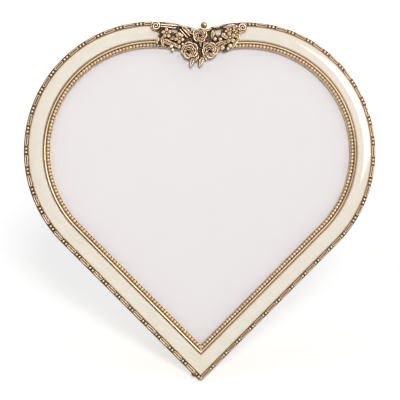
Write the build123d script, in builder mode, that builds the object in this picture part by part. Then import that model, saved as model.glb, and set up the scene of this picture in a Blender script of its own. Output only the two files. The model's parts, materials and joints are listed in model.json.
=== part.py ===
from build123d import *
import os
from math import acos, atan2, cos, degrees, hypot, pi, radians, sin, sqrt

# Heart shaped photo frame. A cast ring with an enamelled band, ornamental wire
# borders and a flower crest holds a glazed pocket. A brass back is pulled up out
# of two guide rails by a ball knob, and carries a hinged strut. The frame stands
# on the tip of the heart and on the two pads of the strut, and leans back.
#
# Insets are measured inwards from the outer edge of the heart, in its own plane.
# Heights are measured forwards from the rear face of the casting.

# Heart outline and stance
LOBE_RADIUS = 55.2
LOBE_OFFSET = 19.8
SIDE_ANGLE = 45.0
LEAN_ANGLE = 12.0
TIP_GROUND_OFF = 0.9
STRUT_REACH = 61.0

# Cast ring
CASTING_EDGE_CHAMFER = 0.3
SHELF_WIDTH = 1.9
SHELF_HEIGHT = 4.4
FENCE_WIDTH = 0.3
FENCE_HEIGHT = 5.5
ENAMEL_WIDTH = 5.8
ENAMEL_FLOOR = 3.4
ENAMEL_CROWN = 0.8
GROOVE_WIDTH = 0.3
FLANGE_WIDTH = 2.5
FLANGE_HEIGHT = 4.9
POCKET_LIP = 1.7
POCKET_DEPTH = 4.0
OVERRUN = 20.0

# Link border on the outer shelf
LINK_MARGIN = 0.1
LINK_BASE = 0.4
LINK_RAIL_WIDTH = 0.25
LINK_RAIL_HEIGHT = 0.4
LINK_PITCH_SIDE = 7.95
LINK_PITCH_LOBE = 8.75
LINK_START_RIGHT = 2.7
LINK_START_LEFT = 5.95
LINK_LENGTH = 4.8
LINK_WIDTH = 1.15
LINK_HEIGHT = 0.75
LINK_SLOT_LENGTH = 3.4
LINK_SLOT_WIDTH = 0.35
LINK_BEAD_RADIUS = 0.5
LINK_BEAD_GAP = 1.55

# Polished rim and beaded strip at the sight edge
RIM_WIDTH = 0.6
RIM_HEIGHT = 1.3
RIM_CHAMFER = 0.2
BEAD_RADIUS = 0.73
BEAD_PITCH = 1.5
BEAD_BASE = 0.25
BEAD_RAIL_WIDTH = 0.25
BEAD_RAIL_HEIGHT = 0.6

# Crest
CREST_HALF_WIDTH = 20.6
CREST_HEIGHT = 19.0
CREST_DROP = 3.2
CREST_UNDERSIDE = 5.0
CREST_TOP = 8.3
CREST_SEAT_GAP = 0.05
LEAF_HEIGHT = 0.7
BAR_WIDTH = 0.9
SCREW_RADIUS = 1.0
SCREW_HEAD_RADIUS = 1.9
SCREW_HEAD_DEPTH = 1.2
SCREW_SPACING = 19.0
SCREW_INSET = 5.0
SCREW_BITE = 1.0
SCREW_SLOT_WIDTH = 0.5
SCREW_SLOT_DEPTH = 0.4
SCREW_CLEARANCE = 0.05

# Glazing
PANE_CLEARANCE = 0.3
PANE_THICKNESS = 2.0
INSERT_THICKNESS = 0.4
BACKING_THICKNESS = 0.8
SPRING_THICKNESS = 0.25
SPRING_LENGTH = 56.0
SPRING_WIDTH = 9.0
SPRING_SPACING = 36.0
SPRING_CENTRE = 92.0
SPRING_END_GAP = 0.05

# Sliding back
BACK_INSET = 5.0
BACK_GAP = 0.1
BACK_THICKNESS = 1.0
BACK_CORNER_RADIUS = 2.0
TONGUE_WIDTH = 9.0
TONGUE_RISE = 1.2
KNOB_SHIFT = 1.9
KNOB_RADIUS = 1.5
KNOB_NECK_RADIUS = 0.8
COLLAR_RADIUS = 1.3
COLLAR_HEIGHT = 0.5
STEM_RADIUS = 0.75
STEM_LENGTH = 4.0
BLOCK_WIDTH = 6.0
BLOCK_HEIGHT = 5.5
BLOCK_THICKNESS = 2.4

# Guide rails
RAIL_START = 16.0
RAIL_LENGTH = 58.0
RAIL_THICKNESS = 0.8
RAIL_FLANGE = 3.3
RAIL_LIP = 2.2
RAIL_GAP = 0.1
RIVET_SHANK_RADIUS = 0.6
RIVET_HEAD_RADIUS = 1.15
RIVET_HEAD_HEIGHT = 0.6
RIVET_DEPTH = 2.0
RIVET_CLEARANCE = 0.02
RAIL_RIVET_COUNT = 3

# Strut and its hinge
HINGE_RISE = 96.0
PIN_DEPTH = 2.2
PIN_RADIUS = 0.9
PIN_CLEARANCE = 0.05
PIN_OVERHANG = 0.8
KNUCKLE_RADIUS = 1.7
KNUCKLE_WIDTH = 6.0
KNUCKLE_GAP = 0.2
LEG_KNUCKLE_WIDTH = 11.6
LEAF_THICKNESS = 0.8
LEAF_TALL = 13.0
LEAF_NOTCH = 4.4
LEG_THICKNESS = 1.2
LEG_FOOT_WIDTH = 17.6
LEG_SHOULDER = 3.0
LEG_ARCH_WIDTH = 6.0
LEG_ARCH_HEIGHT = 3.0
LEG_RIB_RADIUS = 0.9
LEG_RIB_LENGTH = 62.0
LEG_RIB_SPREAD = 5.4
LEG_RIB_TAPER = 30.0
STOP_GAP = 0.08
PAD_WIDTH = 6.0
PAD_HEIGHT = 5.0
PAD_WALL = 1.2
PAD_SOLE = 1.6

lean = radians(LEAN_ANGLE)
side_angle = radians(SIDE_ANGLE)

# Insets and heights that follow from the section of the ring
fence_inset = SHELF_WIDTH + FENCE_WIDTH
enamel_inner = fence_inset + ENAMEL_WIDTH
groove_inset = enamel_inner + FENCE_WIDTH
rim_inset = groove_inset + GROOVE_WIDTH
sight_inset = rim_inset + FLANGE_WIDTH
pocket_inset = sight_inset - POCKET_LIP
enamel_middle = fence_inset + ENAMEL_WIDTH / 2
enamel_top = FENCE_HEIGHT + ENAMEL_CROWN
bead_strip_inset = rim_inset + RIM_WIDTH
bead_inset = (bead_strip_inset + sight_inset - BEAD_RAIL_WIDTH) / 2
link_inset = SHELF_WIDTH / 2

# Centre of each lobe above the sharp tip
lobe_rise = (LOBE_RADIUS + LOBE_OFFSET * cos(side_angle)) / sin(side_angle)


def tip_height(inset):
    """Height of the lower corner of the heart at an inset."""
    return inset / sin(side_angle)


def dip_height(inset):
    """Height of the upper corner of the heart at an inset."""
    return lobe_rise + sqrt((LOBE_RADIUS - inset) ** 2 - LOBE_OFFSET ** 2)


def side_length(inset):
    """Length of one straight side at an inset."""
    shoulder = lobe_rise - (LOBE_RADIUS - inset) * sin(side_angle)
    return (shoulder - tip_height(inset)) / cos(side_angle)


def half_length(inset):
    """Length from the lower corner to the upper one, up the right half."""
    radius = LOBE_RADIUS - inset
    return side_length(inset) + radius * (acos(-LOBE_OFFSET / radius) + side_angle)


# How far the crown of the enamel at the lower corner stands before the tip, and
# how far the rounded end of the lowest link does. The foremost one counts.
crown_radius = (ENAMEL_WIDTH ** 2 / 4 + ENAMEL_CROWN ** 2) / (2 * ENAMEL_CROWN)
tip_slope = sin(lean) / sin(side_angle)
enamel_reach = (
    (enamel_top - crown_radius) * cos(lean)
    - enamel_middle * tip_slope
    + crown_radius * hypot(cos(lean), tip_slope)
)
link_base_top = SHELF_HEIGHT + LINK_BASE
link_rounding = LINK_HEIGHT / 3
link_end = LINK_START_RIGHT - LINK_LENGTH / 2 + LINK_WIDTH / 2
link_end_height = tip_height(link_inset) + link_end * cos(side_angle)
link_reach = (
    (link_base_top + LINK_HEIGHT - link_rounding) * cos(lean)
    - (link_end_height - LINK_WIDTH / 2 + link_rounding) * sin(lean)
    + link_rounding
)
front_reach = max(enamel_reach, link_reach)

# Hinge pin of the strut, measured from the tip, and the strut's tilt from there
# to the ground
back_rear = -BACK_GAP - BACK_THICKNESS
pin_height = back_rear - PIN_DEPTH
pin_behind = HINGE_RISE * sin(lean) - pin_height * cos(lean)
pin_above = HINGE_RISE * cos(lean) + pin_height * sin(lean) - TIP_GROUND_OFF
strut_tilt = atan2(STRUT_REACH - pin_behind, pin_above)
strut_length = hypot(STRUT_REACH - pin_behind, pin_above)
strut_opening = strut_tilt + lean
pad_half = LEG_THICKNESS / 2 + PAD_WALL
rear_reach = STRUT_REACH + pad_half / cos(strut_tilt)

# The frame's own plane, leaning back, with its origin at the sharp tip of the
# heart on the rear face. It stands so that the whole object is centred on Y.
face = Plane(
    origin=(0, (front_reach - rear_reach) / 2, -TIP_GROUND_OFF),
    x_dir=(1, 0, 0),
    z_dir=(0, -cos(lean), sin(lean)),
)
up_axis = Axis(face.origin, face.y_dir)
front_axis = Axis(face.origin, face.z_dir)


def edge_place(inset, distance, height):
    """Place on the right half, a distance up from the tip, turned along it."""
    straight = side_length(inset)
    if distance < straight:
        x = distance * sin(side_angle)
        y = tip_height(inset) + distance * cos(side_angle)
        heading = pi / 2 - side_angle
    else:
        radius = LOBE_RADIUS - inset
        turn = (distance - straight) / radius
        x = LOBE_OFFSET + radius * cos(turn - side_angle)
        y = lobe_rise + radius * sin(turn - side_angle)
        heading = pi / 2 - side_angle + turn
    return face.location * Location((x, y, height), (0, 0, degrees(heading)))


def side_section(distance):
    """Plane square to the right side, its X inwards and its Y forwards."""
    along = face.x_dir * sin(side_angle) + face.y_dir * cos(side_angle)
    inwards = face.y_dir * sin(side_angle) - face.x_dir * cos(side_angle)
    return Plane(origin=face.origin + along * distance, x_dir=inwards, z_dir=along)


def heart(inset, height):
    """Filled heart at an inset and a height."""
    radius = LOBE_RADIUS - inset
    tip = (0, tip_height(inset))
    shoulder = (
        LOBE_OFFSET + radius * cos(side_angle),
        lobe_rise - radius * sin(side_angle),
    )
    crown = (LOBE_OFFSET, lobe_rise + radius)
    with BuildSketch(face.offset(height)) as sketch:
        with BuildLine():
            Line(tip, shoulder)
            ThreePointArc(shoulder, crown, (0, dip_height(inset)))
            mirror(about=Plane.YZ)
        make_face()
    return sketch.sketch


def right_half(section):
    """Sweep a section, drawn as inset and height, up the right half."""
    radius = LOBE_RADIUS
    shoulder = (
        LOBE_OFFSET + radius * cos(side_angle),
        lobe_rise - radius * sin(side_angle),
    )
    crown = (LOBE_OFFSET, lobe_rise + radius)
    beyond = acos(-LOBE_OFFSET / radius) + OVERRUN / radius
    finish = (LOBE_OFFSET + radius * cos(beyond), lobe_rise + radius * sin(beyond))
    start = (-OVERRUN * sin(side_angle), -OVERRUN * cos(side_angle))
    with BuildPart() as half:
        with BuildLine(face) as path:
            Line(start, shoulder)
            ThreePointArc(shoulder, crown, finish)
        sweep(sections=section, path=path.wire())
        split(bisect_by=Plane.YZ, keep=Keep.TOP)
    return half.part


def outline_section(points):
    """Section of straight lines at the start of the sweep."""
    with BuildSketch(side_section(-OVERRUN)) as sketch:
        with BuildLine():
            Polyline(*points, close=True)
        make_face()
    return sketch.sketch


def crowned_section(inner, outer, foot, shoulder, crown):
    """Section with a flat foot and a crowned top."""
    with BuildSketch(side_section(-OVERRUN)) as sketch:
        with BuildLine():
            Polyline((inner, shoulder), (inner, foot), (outer, foot), (outer, shoulder))
            ThreePointArc((outer, shoulder), ((inner + outer) / 2, crown), (inner, shoulder))
        make_face()
    return sketch.sketch


# Crest screws and rail rivets are drilled through several pieces
screw_x = SCREW_SPACING / 2
screw_y = lobe_rise + sqrt((LOBE_RADIUS - SCREW_INSET) ** 2 - (LOBE_OFFSET - screw_x) ** 2)
screw_places = [(-screw_x, screw_y), (screw_x, screw_y)]
screw_end = enamel_top + SCREW_BITE

rail_rivet_inset = BACK_INSET - RAIL_GAP - RAIL_THICKNESS - RAIL_FLANGE / 2
rail_rivet_pitch = RAIL_LENGTH / RAIL_RIVET_COUNT
rail_rivet_places = [
    edge_place(rail_rivet_inset, RAIL_START + rail_rivet_pitch * (n + 0.5), 0)
    for n in range(RAIL_RIVET_COUNT)
]

# Cast ring: shelf, enamel trough, groove, flange and pocket in one section
casting = right_half(
    outline_section(
        [
            (0, 0),
            (0, SHELF_HEIGHT - CASTING_EDGE_CHAMFER),
            (CASTING_EDGE_CHAMFER, SHELF_HEIGHT),
            (SHELF_WIDTH, SHELF_HEIGHT),
            (SHELF_WIDTH, FENCE_HEIGHT),
            (fence_inset, FENCE_HEIGHT),
            (fence_inset, ENAMEL_FLOOR),
            (enamel_inner, ENAMEL_FLOOR),
            (enamel_inner, FENCE_HEIGHT),
            (groove_inset, FENCE_HEIGHT),
            (groove_inset, FLANGE_HEIGHT),
            (sight_inset, FLANGE_HEIGHT),
            (sight_inset, POCKET_DEPTH),
            (pocket_inset, POCKET_DEPTH),
            (pocket_inset, 0),
        ]
    )
)
with BuildPart() as rivet_holes:
    with Locations(*rail_rivet_places):
        Cylinder(
            RIVET_SHANK_RADIUS + RIVET_CLEARANCE,
            RIVET_DEPTH,
            align=(Align.CENTER, Align.CENTER, Align.MIN),
        )
    mirror(about=Plane.YZ)

with BuildPart() as frame_body:
    add(casting)
    mirror(about=Plane.YZ)
    split(bisect_by=Plane.XY, keep=Keep.TOP)
    with Locations(*[face.location * Location((x, y, 0)) for x, y in screw_places]):
        Cylinder(
            SCREW_RADIUS + SCREW_CLEARANCE,
            FENCE_HEIGHT,
            align=(Align.CENTER, Align.CENTER, Align.MIN),
            mode=Mode.SUBTRACT,
        )
        Cone(
            SCREW_HEAD_RADIUS + SCREW_CLEARANCE,
            SCREW_RADIUS + SCREW_CLEARANCE,
            SCREW_HEAD_DEPTH,
            align=(Align.CENTER, Align.CENTER, Align.MIN),
            mode=Mode.SUBTRACT,
        )
    add(rivet_holes.part, mode=Mode.SUBTRACT)
frame_body.part.label = "frame_body"

# Enamel fills the trough and stands proud of it in a crown
enamel_half = right_half(
    crowned_section(fence_inset, enamel_inner, ENAMEL_FLOOR, FENCE_HEIGHT, enamel_top)
)
with BuildPart() as enamel_band:
    add(enamel_half)
    mirror(about=Plane.YZ)
    with Locations(*[face.location * Location((x, y, 0)) for x, y in screw_places]):
        Cylinder(
            SCREW_RADIUS + SCREW_CLEARANCE,
            screw_end,
            align=(Align.CENTER, Align.CENTER, Align.MIN),
            mode=Mode.SUBTRACT,
        )
enamel_band.part.label = "enamel_band"

# Link border: long slotted links and pairs of small beads between two rails
link_outer = CASTING_EDGE_CHAMFER
link_inner = SHELF_WIDTH - LINK_MARGIN
link_strip = right_half(
    outline_section(
        [
            (link_outer, SHELF_HEIGHT),
            (link_outer, link_base_top + LINK_RAIL_HEIGHT / 2),
            (link_outer + LINK_RAIL_WIDTH, link_base_top + LINK_RAIL_HEIGHT / 2),
            (link_outer + LINK_RAIL_WIDTH, link_base_top),
            (link_inner - LINK_RAIL_WIDTH, link_base_top),
            (link_inner - LINK_RAIL_WIDTH, link_base_top + LINK_RAIL_HEIGHT),
            (link_inner, link_base_top + LINK_RAIL_HEIGHT),
            (link_inner, SHELF_HEIGHT),
        ]
    )
)
with BuildPart() as link:
    with BuildSketch(Plane.XY.offset(SHELF_HEIGHT)):
        SlotOverall(LINK_LENGTH, LINK_WIDTH)
    extrude(amount=LINK_BASE + LINK_HEIGHT)
    fillet(link.faces().sort_by(Axis.Z)[-1].edges(), link_rounding)
    with BuildSketch(Plane.XY.offset(link_base_top + LINK_HEIGHT)):
        SlotOverall(LINK_SLOT_LENGTH, LINK_SLOT_WIDTH)
    extrude(amount=-LINK_SLOT_WIDTH, mode=Mode.SUBTRACT)


def border_half(start):
    """Border on the right half, its first link at a distance from the tip."""
    distances = [start]
    while distances[-1] < half_length(link_inset):
        on_side = distances[-1] < side_length(link_inset)
        distances.append(distances[-1] + (LINK_PITCH_SIDE if on_side else LINK_PITCH_LOBE))
    gaps = [start - LINK_PITCH_SIDE / 2]
    gaps += [(one + other) / 2 for one, other in zip(distances, distances[1:])]
    beads = [gap + step for gap in gaps for step in (-LINK_BEAD_GAP / 2, LINK_BEAD_GAP / 2)]
    with BuildPart() as half:
        add(link_strip)
        with Locations(*[edge_place(link_inset, distance, 0) for distance in distances]):
            add(link.part)
        with Locations(
            *[
                edge_place(link_inset, distance, link_base_top)
                for distance in beads
                if distance > LINK_BEAD_RADIUS
            ]
        ):
            Sphere(LINK_BEAD_RADIUS)
        split(bisect_by=face.offset(SHELF_HEIGHT), keep=Keep.TOP)
        split(bisect_by=Plane.YZ, keep=Keep.TOP)
    return half.part


# The wire pattern runs on round the tip, so the two halves start unlike
with BuildPart() as link_border_right:
    add(border_half(LINK_START_RIGHT))
link_border_right.part.label = "link_border_right"

with BuildPart() as link_border_left:
    mirror(border_half(LINK_START_LEFT), about=Plane.YZ)
link_border_left.part.label = "link_border_left"

# Polished rim between the groove and the beads, its top broken by two chamfers
rim_top = FLANGE_HEIGHT + RIM_HEIGHT
rim_half = right_half(
    outline_section(
        [
            (rim_inset, FLANGE_HEIGHT),
            (rim_inset, rim_top - RIM_CHAMFER),
            (rim_inset + RIM_CHAMFER, rim_top),
            (bead_strip_inset - RIM_CHAMFER, rim_top),
            (bead_strip_inset, rim_top - RIM_CHAMFER),
            (bead_strip_inset, FLANGE_HEIGHT),
        ]
    )
)
with BuildPart() as sight_rim:
    add(rim_half)
    mirror(about=Plane.YZ)
sight_rim.part.label = "sight_rim"

# Beaded strip with a plain rail at the sight edge
bead_base_top = FLANGE_HEIGHT + BEAD_BASE
bead_strip = right_half(
    outline_section(
        [
            (bead_strip_inset, FLANGE_HEIGHT),
            (bead_strip_inset, bead_base_top),
            (sight_inset - BEAD_RAIL_WIDTH, bead_base_top),
            (sight_inset - BEAD_RAIL_WIDTH, FLANGE_HEIGHT + BEAD_RAIL_HEIGHT),
            (sight_inset, FLANGE_HEIGHT + BEAD_RAIL_HEIGHT),
            (sight_inset, FLANGE_HEIGHT),
        ]
    )
)
bead_run = half_length(bead_inset)
bead_count = int(bead_run / BEAD_PITCH)
bead_pitch = bead_run / bead_count
bead_places = [
    edge_place(bead_inset, bead_pitch * (n + 0.5), bead_base_top) for n in range(bead_count)
]
with BuildPart() as bead_strip_right:
    add(bead_strip)
    with Locations(*bead_places):
        Sphere(BEAD_RADIUS)
    split(bisect_by=face.offset(FLANGE_HEIGHT), keep=Keep.TOP)
    split(bisect_by=Plane.YZ, keep=Keep.TOP)
bead_strip_right.part.label = "bead_strip_right"

with BuildPart() as bead_strip_left:
    mirror(bead_strip_right.part, about=Plane.YZ)
bead_strip_left.part.label = "bead_strip_left"

# Crest. Its tables give shares of its half width, from the middle line, and of
# its height, from the leaf tips. Radii and lengths are shares of the half width.
crest_outline_shares = [
    (-1.04, 0.86),
    (-1.01, 0.96),
    (-0.92, 1.00),
    (-0.84, 0.965),
    (-0.66, 0.955),
    (-0.48, 0.91),
    (-0.30, 0.855),
    (-0.18, 0.82),
    (-0.02, 0.805),
    (0.17, 0.845),
    (0.32, 0.875),
    (0.49, 0.925),
    (0.67, 0.95),
    (0.80, 0.985),
    (0.88, 0.985),
    (0.93, 0.88),
    (0.91, 0.785),
    (0.80, 0.72),
    (0.78, 0.57),
    (0.74, 0.48),
    (0.64, 0.40),
    (0.48, 0.30),
    (0.41, 0.345),
    (0.32, 0.315),
    (0.23, 0.22),
    (0.11, 0.14),
    (0.06, 0.05),
    (0.00, 0.00),
    (-0.05, 0.01),
    (-0.08, 0.09),
    (-0.13, 0.07),
    (-0.18, 0.00),
    (-0.235, 0.01),
    (-0.27, 0.10),
    (-0.375, 0.28),
    (-0.42, 0.355),
    (-0.60, 0.37),
    (-0.80, 0.465),
    (-0.93, 0.515),
    (-0.95, 0.59),
    (-0.88, 0.72),
    (-1.01, 0.80),
]
rose_shares = [(-0.24, 0.342, 0.176), (-0.035, 0.679, 0.155), (0.172, 0.346, 0.166)]
blossom_shares = [
    (-0.942, 0.877, 0.10),
    (-0.72, 0.72, 0.115),
    (-0.457, 0.604, 0.115),
    (0.589, 0.627, 0.13),
    (0.71, 0.82, 0.085),
    (0.848, 0.854, 0.09),
]
berry_shares = [
    (-0.62, 0.43, 0.045),
    (-0.46, 0.42, 0.045),
    (0.436, 0.411, 0.055),
    (0.591, 0.45, 0.05),
    (0.39, 0.59, 0.045),
]
leaf_shares = [
    (-0.18, 0.10, 0.22, 0.10, 72),
    (0.00, 0.09, 0.20, 0.10, 68),
    (-0.67, 0.51, 0.28, 0.11, 155),
    (-0.85, 0.57, 0.22, 0.09, 100),
    (-0.27, 0.76, 0.24, 0.09, 150),
    (0.23, 0.69, 0.20, 0.09, 80),
    (0.50, 0.51, 0.24, 0.10, 30),
    (0.34, 0.41, 0.24, 0.09, 40),
    (0.58, 0.88, 0.28, 0.08, 12),
    (0.70, 0.56, 0.22, 0.10, 65),
]
bar_shares = [(-0.82, 0.885, -0.52, 0.86), (-0.42, 0.79, -0.29, 0.62)]
opening_shares = [(-0.555, 0.776, 0.145, 0.072, -12), (0.352, 0.775, 0.175, 0.125, 85)]
petal_count = 6
petal_circle_share = 0.55
petal_share = 0.45
bud_share = 0.42
petal_lift_share = 0.12
bud_lift_share = 0.30

crest_foot = dip_height(sight_inset) - CREST_DROP


def crest_point(x_share, y_share):
    """Point of the crest from its two shares."""
    return (x_share * CREST_HALF_WIDTH, crest_foot + y_share * CREST_HEIGHT)


def crest_spot(x_share, y_share, height, turn=0):
    """Place on the crest at a height, turned in the frame's plane."""
    x, y = crest_point(x_share, y_share)
    return face.location * Location((x, y, height), (0, 0, turn))


# What the crest sits over: border, enamel, groove, rim and beads
saddle_link = link_base_top + LINK_HEIGHT + CREST_SEAT_GAP
saddle_rim = rim_top + CREST_SEAT_GAP
saddle_bead = bead_base_top + BEAD_RADIUS + CREST_SEAT_GAP
with BuildSketch(side_section(-OVERRUN)) as saddle_sketch:
    with BuildLine():
        Polyline(
            (fence_inset, saddle_link),
            (-OVERRUN, saddle_link),
            (-OVERRUN, 0),
            (sight_inset + CREST_SEAT_GAP, 0),
            (sight_inset + CREST_SEAT_GAP, saddle_bead),
            (bead_strip_inset + CREST_SEAT_GAP, saddle_bead),
            (bead_strip_inset + CREST_SEAT_GAP, saddle_rim),
            (rim_inset - CREST_SEAT_GAP, saddle_rim),
            (rim_inset - CREST_SEAT_GAP, saddle_link),
            (enamel_inner, saddle_link),
        )
        ThreePointArc(
            (enamel_inner, saddle_link),
            (enamel_middle, enamel_top + CREST_SEAT_GAP),
            (fence_inset, saddle_link),
        )
    make_face()
saddle_half = right_half(saddle_sketch.sketch)
with BuildPart() as saddle:
    add(saddle_half)
    mirror(about=Plane.YZ)

with BuildPart() as crest_garland:
    with BuildSketch(face.offset(CREST_UNDERSIDE)):
        with BuildLine():
            Polyline(*[crest_point(x, y) for x, y in crest_outline_shares], close=True)
        make_face()
        for x, y, length, width, turn in opening_shares:
            with Locations(Location((*crest_point(x, y), 0), (0, 0, turn))):
                SlotOverall(
                    length * CREST_HALF_WIDTH, width * CREST_HALF_WIDTH, mode=Mode.SUBTRACT
                )
    extrude(amount=CREST_TOP - CREST_UNDERSIDE)
    for x, y, share in rose_shares + blossom_shares:
        radius = share * CREST_HALF_WIDTH
        with Locations(crest_spot(x, y, CREST_TOP + radius * petal_lift_share)):
            with PolarLocations(radius * petal_circle_share, petal_count):
                Sphere(radius * petal_share)
        with Locations(crest_spot(x, y, CREST_TOP + radius * bud_lift_share)):
            Sphere(radius * bud_share)
    for x, y, share in berry_shares:
        with Locations(crest_spot(x, y, CREST_TOP)):
            Sphere(share * CREST_HALF_WIDTH)
    with BuildSketch(face.offset(CREST_UNDERSIDE)):
        for x, y, length, width, turn in leaf_shares:
            with Locations(Location((*crest_point(x, y), 0), (0, 0, turn))):
                Ellipse(length * CREST_HALF_WIDTH / 2, width * CREST_HALF_WIDTH / 2)
        for x1, y1, x2, y2 in bar_shares:
            start = Vector(*crest_point(x1, y1))
            end = Vector(*crest_point(x2, y2))
            middle = (start + end) / 2
            run = end - start
            turn = degrees(atan2(run.Y, run.X))
            with Locations(Location((middle.X, middle.Y, 0), (0, 0, turn))):
                SlotOverall(run.length + BAR_WIDTH, BAR_WIDTH)
    extrude(amount=CREST_TOP + LEAF_HEIGHT - CREST_UNDERSIDE)
    add(saddle.part, mode=Mode.SUBTRACT)
    with Locations(*[face.location * Location((x, y, 0)) for x, y in screw_places]):
        Cylinder(
            SCREW_RADIUS + SCREW_CLEARANCE,
            screw_end,
            align=(Align.CENTER, Align.CENTER, Align.MIN),
            mode=Mode.SUBTRACT,
        )
crest_garland.part.label = "crest_garland"

with BuildPart() as crest_screws:
    with Locations(*[face.location * Location((x, y, 0)) for x, y in screw_places]):
        Cylinder(SCREW_RADIUS, screw_end, align=(Align.CENTER, Align.CENTER, Align.MIN))
        Cone(
            SCREW_HEAD_RADIUS,
            SCREW_RADIUS,
            SCREW_HEAD_DEPTH,
            align=(Align.CENTER, Align.CENTER, Align.MIN),
        )
        Box(
            SCREW_HEAD_RADIUS * 2,
            SCREW_SLOT_WIDTH,
            SCREW_SLOT_DEPTH,
            align=(Align.CENTER, Align.CENTER, Align.MIN),
            mode=Mode.SUBTRACT,
        )
crest_screws.part.label = "crest_screws"

# Glazing stack in the pocket, from the front back
pane_inset = pocket_inset + PANE_CLEARANCE
insert_front = POCKET_DEPTH - PANE_THICKNESS
backing_front = insert_front - INSERT_THICKNESS
spring_front = backing_front - BACKING_THICKNESS

with BuildPart() as glass_pane:
    extrude(heart(pane_inset, insert_front), amount=PANE_THICKNESS)
glass_pane.part.label = "glass_pane"

with BuildPart() as photo_insert:
    extrude(heart(pane_inset, backing_front), amount=INSERT_THICKNESS)
photo_insert.part.label = "photo_insert"

with BuildPart() as backing_card:
    extrude(heart(pane_inset, spring_front), amount=BACKING_THICKNESS)
backing_card.part.label = "backing_card"

# Two bowed strips between the backing card and the sliding back
spring_half = SPRING_LENGTH / 2
spring_low = SPRING_END_GAP + SPRING_THICKNESS
with BuildPart() as pressure_springs:
    for rise in (SPRING_CENTRE - SPRING_SPACING / 2, SPRING_CENTRE + SPRING_SPACING / 2):
        centre = face.origin + face.y_dir * (rise + SPRING_WIDTH / 2)
        with BuildSketch(Plane(origin=centre, x_dir=face.x_dir, z_dir=-face.y_dir)):
            with BuildLine():
                ThreePointArc((-spring_half, spring_low), (0, spring_front), (spring_half, spring_low))
                Line((spring_half, spring_low), (spring_half, SPRING_END_GAP))
                ThreePointArc(
                    (spring_half, SPRING_END_GAP),
                    (0, spring_front - SPRING_THICKNESS),
                    (-spring_half, SPRING_END_GAP),
                )
                Line((-spring_half, SPRING_END_GAP), (-spring_half, spring_low))
            make_face()
        extrude(amount=SPRING_WIDTH)
pressure_springs.part.label = "pressure_springs"

# Guide rails on the straight sides, bent over the edges of the back
rail_web_inner = BACK_INSET - RAIL_GAP
rail_web_outer = rail_web_inner - RAIL_THICKNESS
rail_outer = rail_web_outer - RAIL_FLANGE
rail_lip_front = back_rear - RAIL_GAP
with BuildPart() as guide_rail_right:
    with BuildSketch(side_section(RAIL_START)):
        with BuildLine():
            Polyline(
                (rail_outer, 0),
                (rail_web_inner, 0),
                (rail_web_inner, rail_lip_front),
                (rail_web_inner + RAIL_LIP, rail_lip_front),
                (rail_web_inner + RAIL_LIP, rail_lip_front - RAIL_THICKNESS),
                (rail_web_outer, rail_lip_front - RAIL_THICKNESS),
                (rail_web_outer, -RAIL_THICKNESS),
                (rail_outer, -RAIL_THICKNESS),
                close=True,
            )
        make_face()
    extrude(amount=RAIL_LENGTH)
    with Locations(*rail_rivet_places):
        Cylinder(
            RIVET_SHANK_RADIUS + RIVET_CLEARANCE,
            RAIL_THICKNESS,
            align=(Align.CENTER, Align.CENTER, Align.MAX),
            mode=Mode.SUBTRACT,
        )
guide_rail_right.part.label = "guide_rail_right"

with BuildPart() as guide_rail_left:
    mirror(guide_rail_right.part, about=Plane.YZ)
guide_rail_left.part.label = "guide_rail_left"


def rivet(grip, depth):
    """Domed rivet, its head behind a sheet of the given grip, on its own axis."""
    dome = (RIVET_HEAD_RADIUS ** 2 + RIVET_HEAD_HEIGHT ** 2) / (2 * RIVET_HEAD_HEIGHT)
    with BuildPart() as piece:
        with Locations((0, 0, dome - RIVET_HEAD_HEIGHT)):
            Sphere(dome)
        split(bisect_by=Plane.XY, keep=Keep.BOTTOM)
        Cylinder(
            RIVET_SHANK_RADIUS, grip + depth, align=(Align.CENTER, Align.CENTER, Align.MIN)
        )
    return piece.part


rail_rivet = rivet(RAIL_THICKNESS, RIVET_DEPTH)
with BuildPart() as rail_rivets:
    with Locations(*[spot * Location((0, 0, -RAIL_THICKNESS)) for spot in rail_rivet_places]):
        add(rail_rivet)
    mirror(about=Plane.YZ)
rail_rivets.part.label = "rail_rivets"

# Sliding back with a tongue that carries the knob
back_dip = dip_height(BACK_INSET)
tongue_top = dip_height(0) + TONGUE_RISE
hinge_rivet_x = KNUCKLE_WIDTH / 2 + LEG_KNUCKLE_WIDTH / 2
hinge_rivet_spots = [
    (x, HINGE_RISE + y)
    for x in (-hinge_rivet_x, hinge_rivet_x)
    for y in (LEAF_NOTCH, LEAF_TALL - LEAF_NOTCH / 2)
]
with BuildPart() as back_plate:
    extrude(heart(BACK_INSET, back_rear), amount=BACK_THICKNESS)
    tip_edges = back_plate.edges().filter_by(front_axis).group_by(up_axis)[0]
    fillet(tip_edges, BACK_CORNER_RADIUS)
    with BuildSketch(face.offset(back_rear)):
        with Locations((0, tongue_top)):
            RectangleRounded(
                TONGUE_WIDTH,
                2 * (tongue_top - back_dip),
                BACK_CORNER_RADIUS / 2,
                align=(Align.CENTER, Align.MAX),
            )
    extrude(amount=BACK_THICKNESS)
    with Locations(*[face.location * Location((x, y, back_rear)) for x, y in hinge_rivet_spots]):
        Cylinder(
            RIVET_SHANK_RADIUS + RIVET_CLEARANCE,
            BACK_THICKNESS,
            align=(Align.CENTER, Align.CENTER, Align.MIN),
            mode=Mode.SUBTRACT,
        )
back_plate.part.label = "back_plate"

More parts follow.
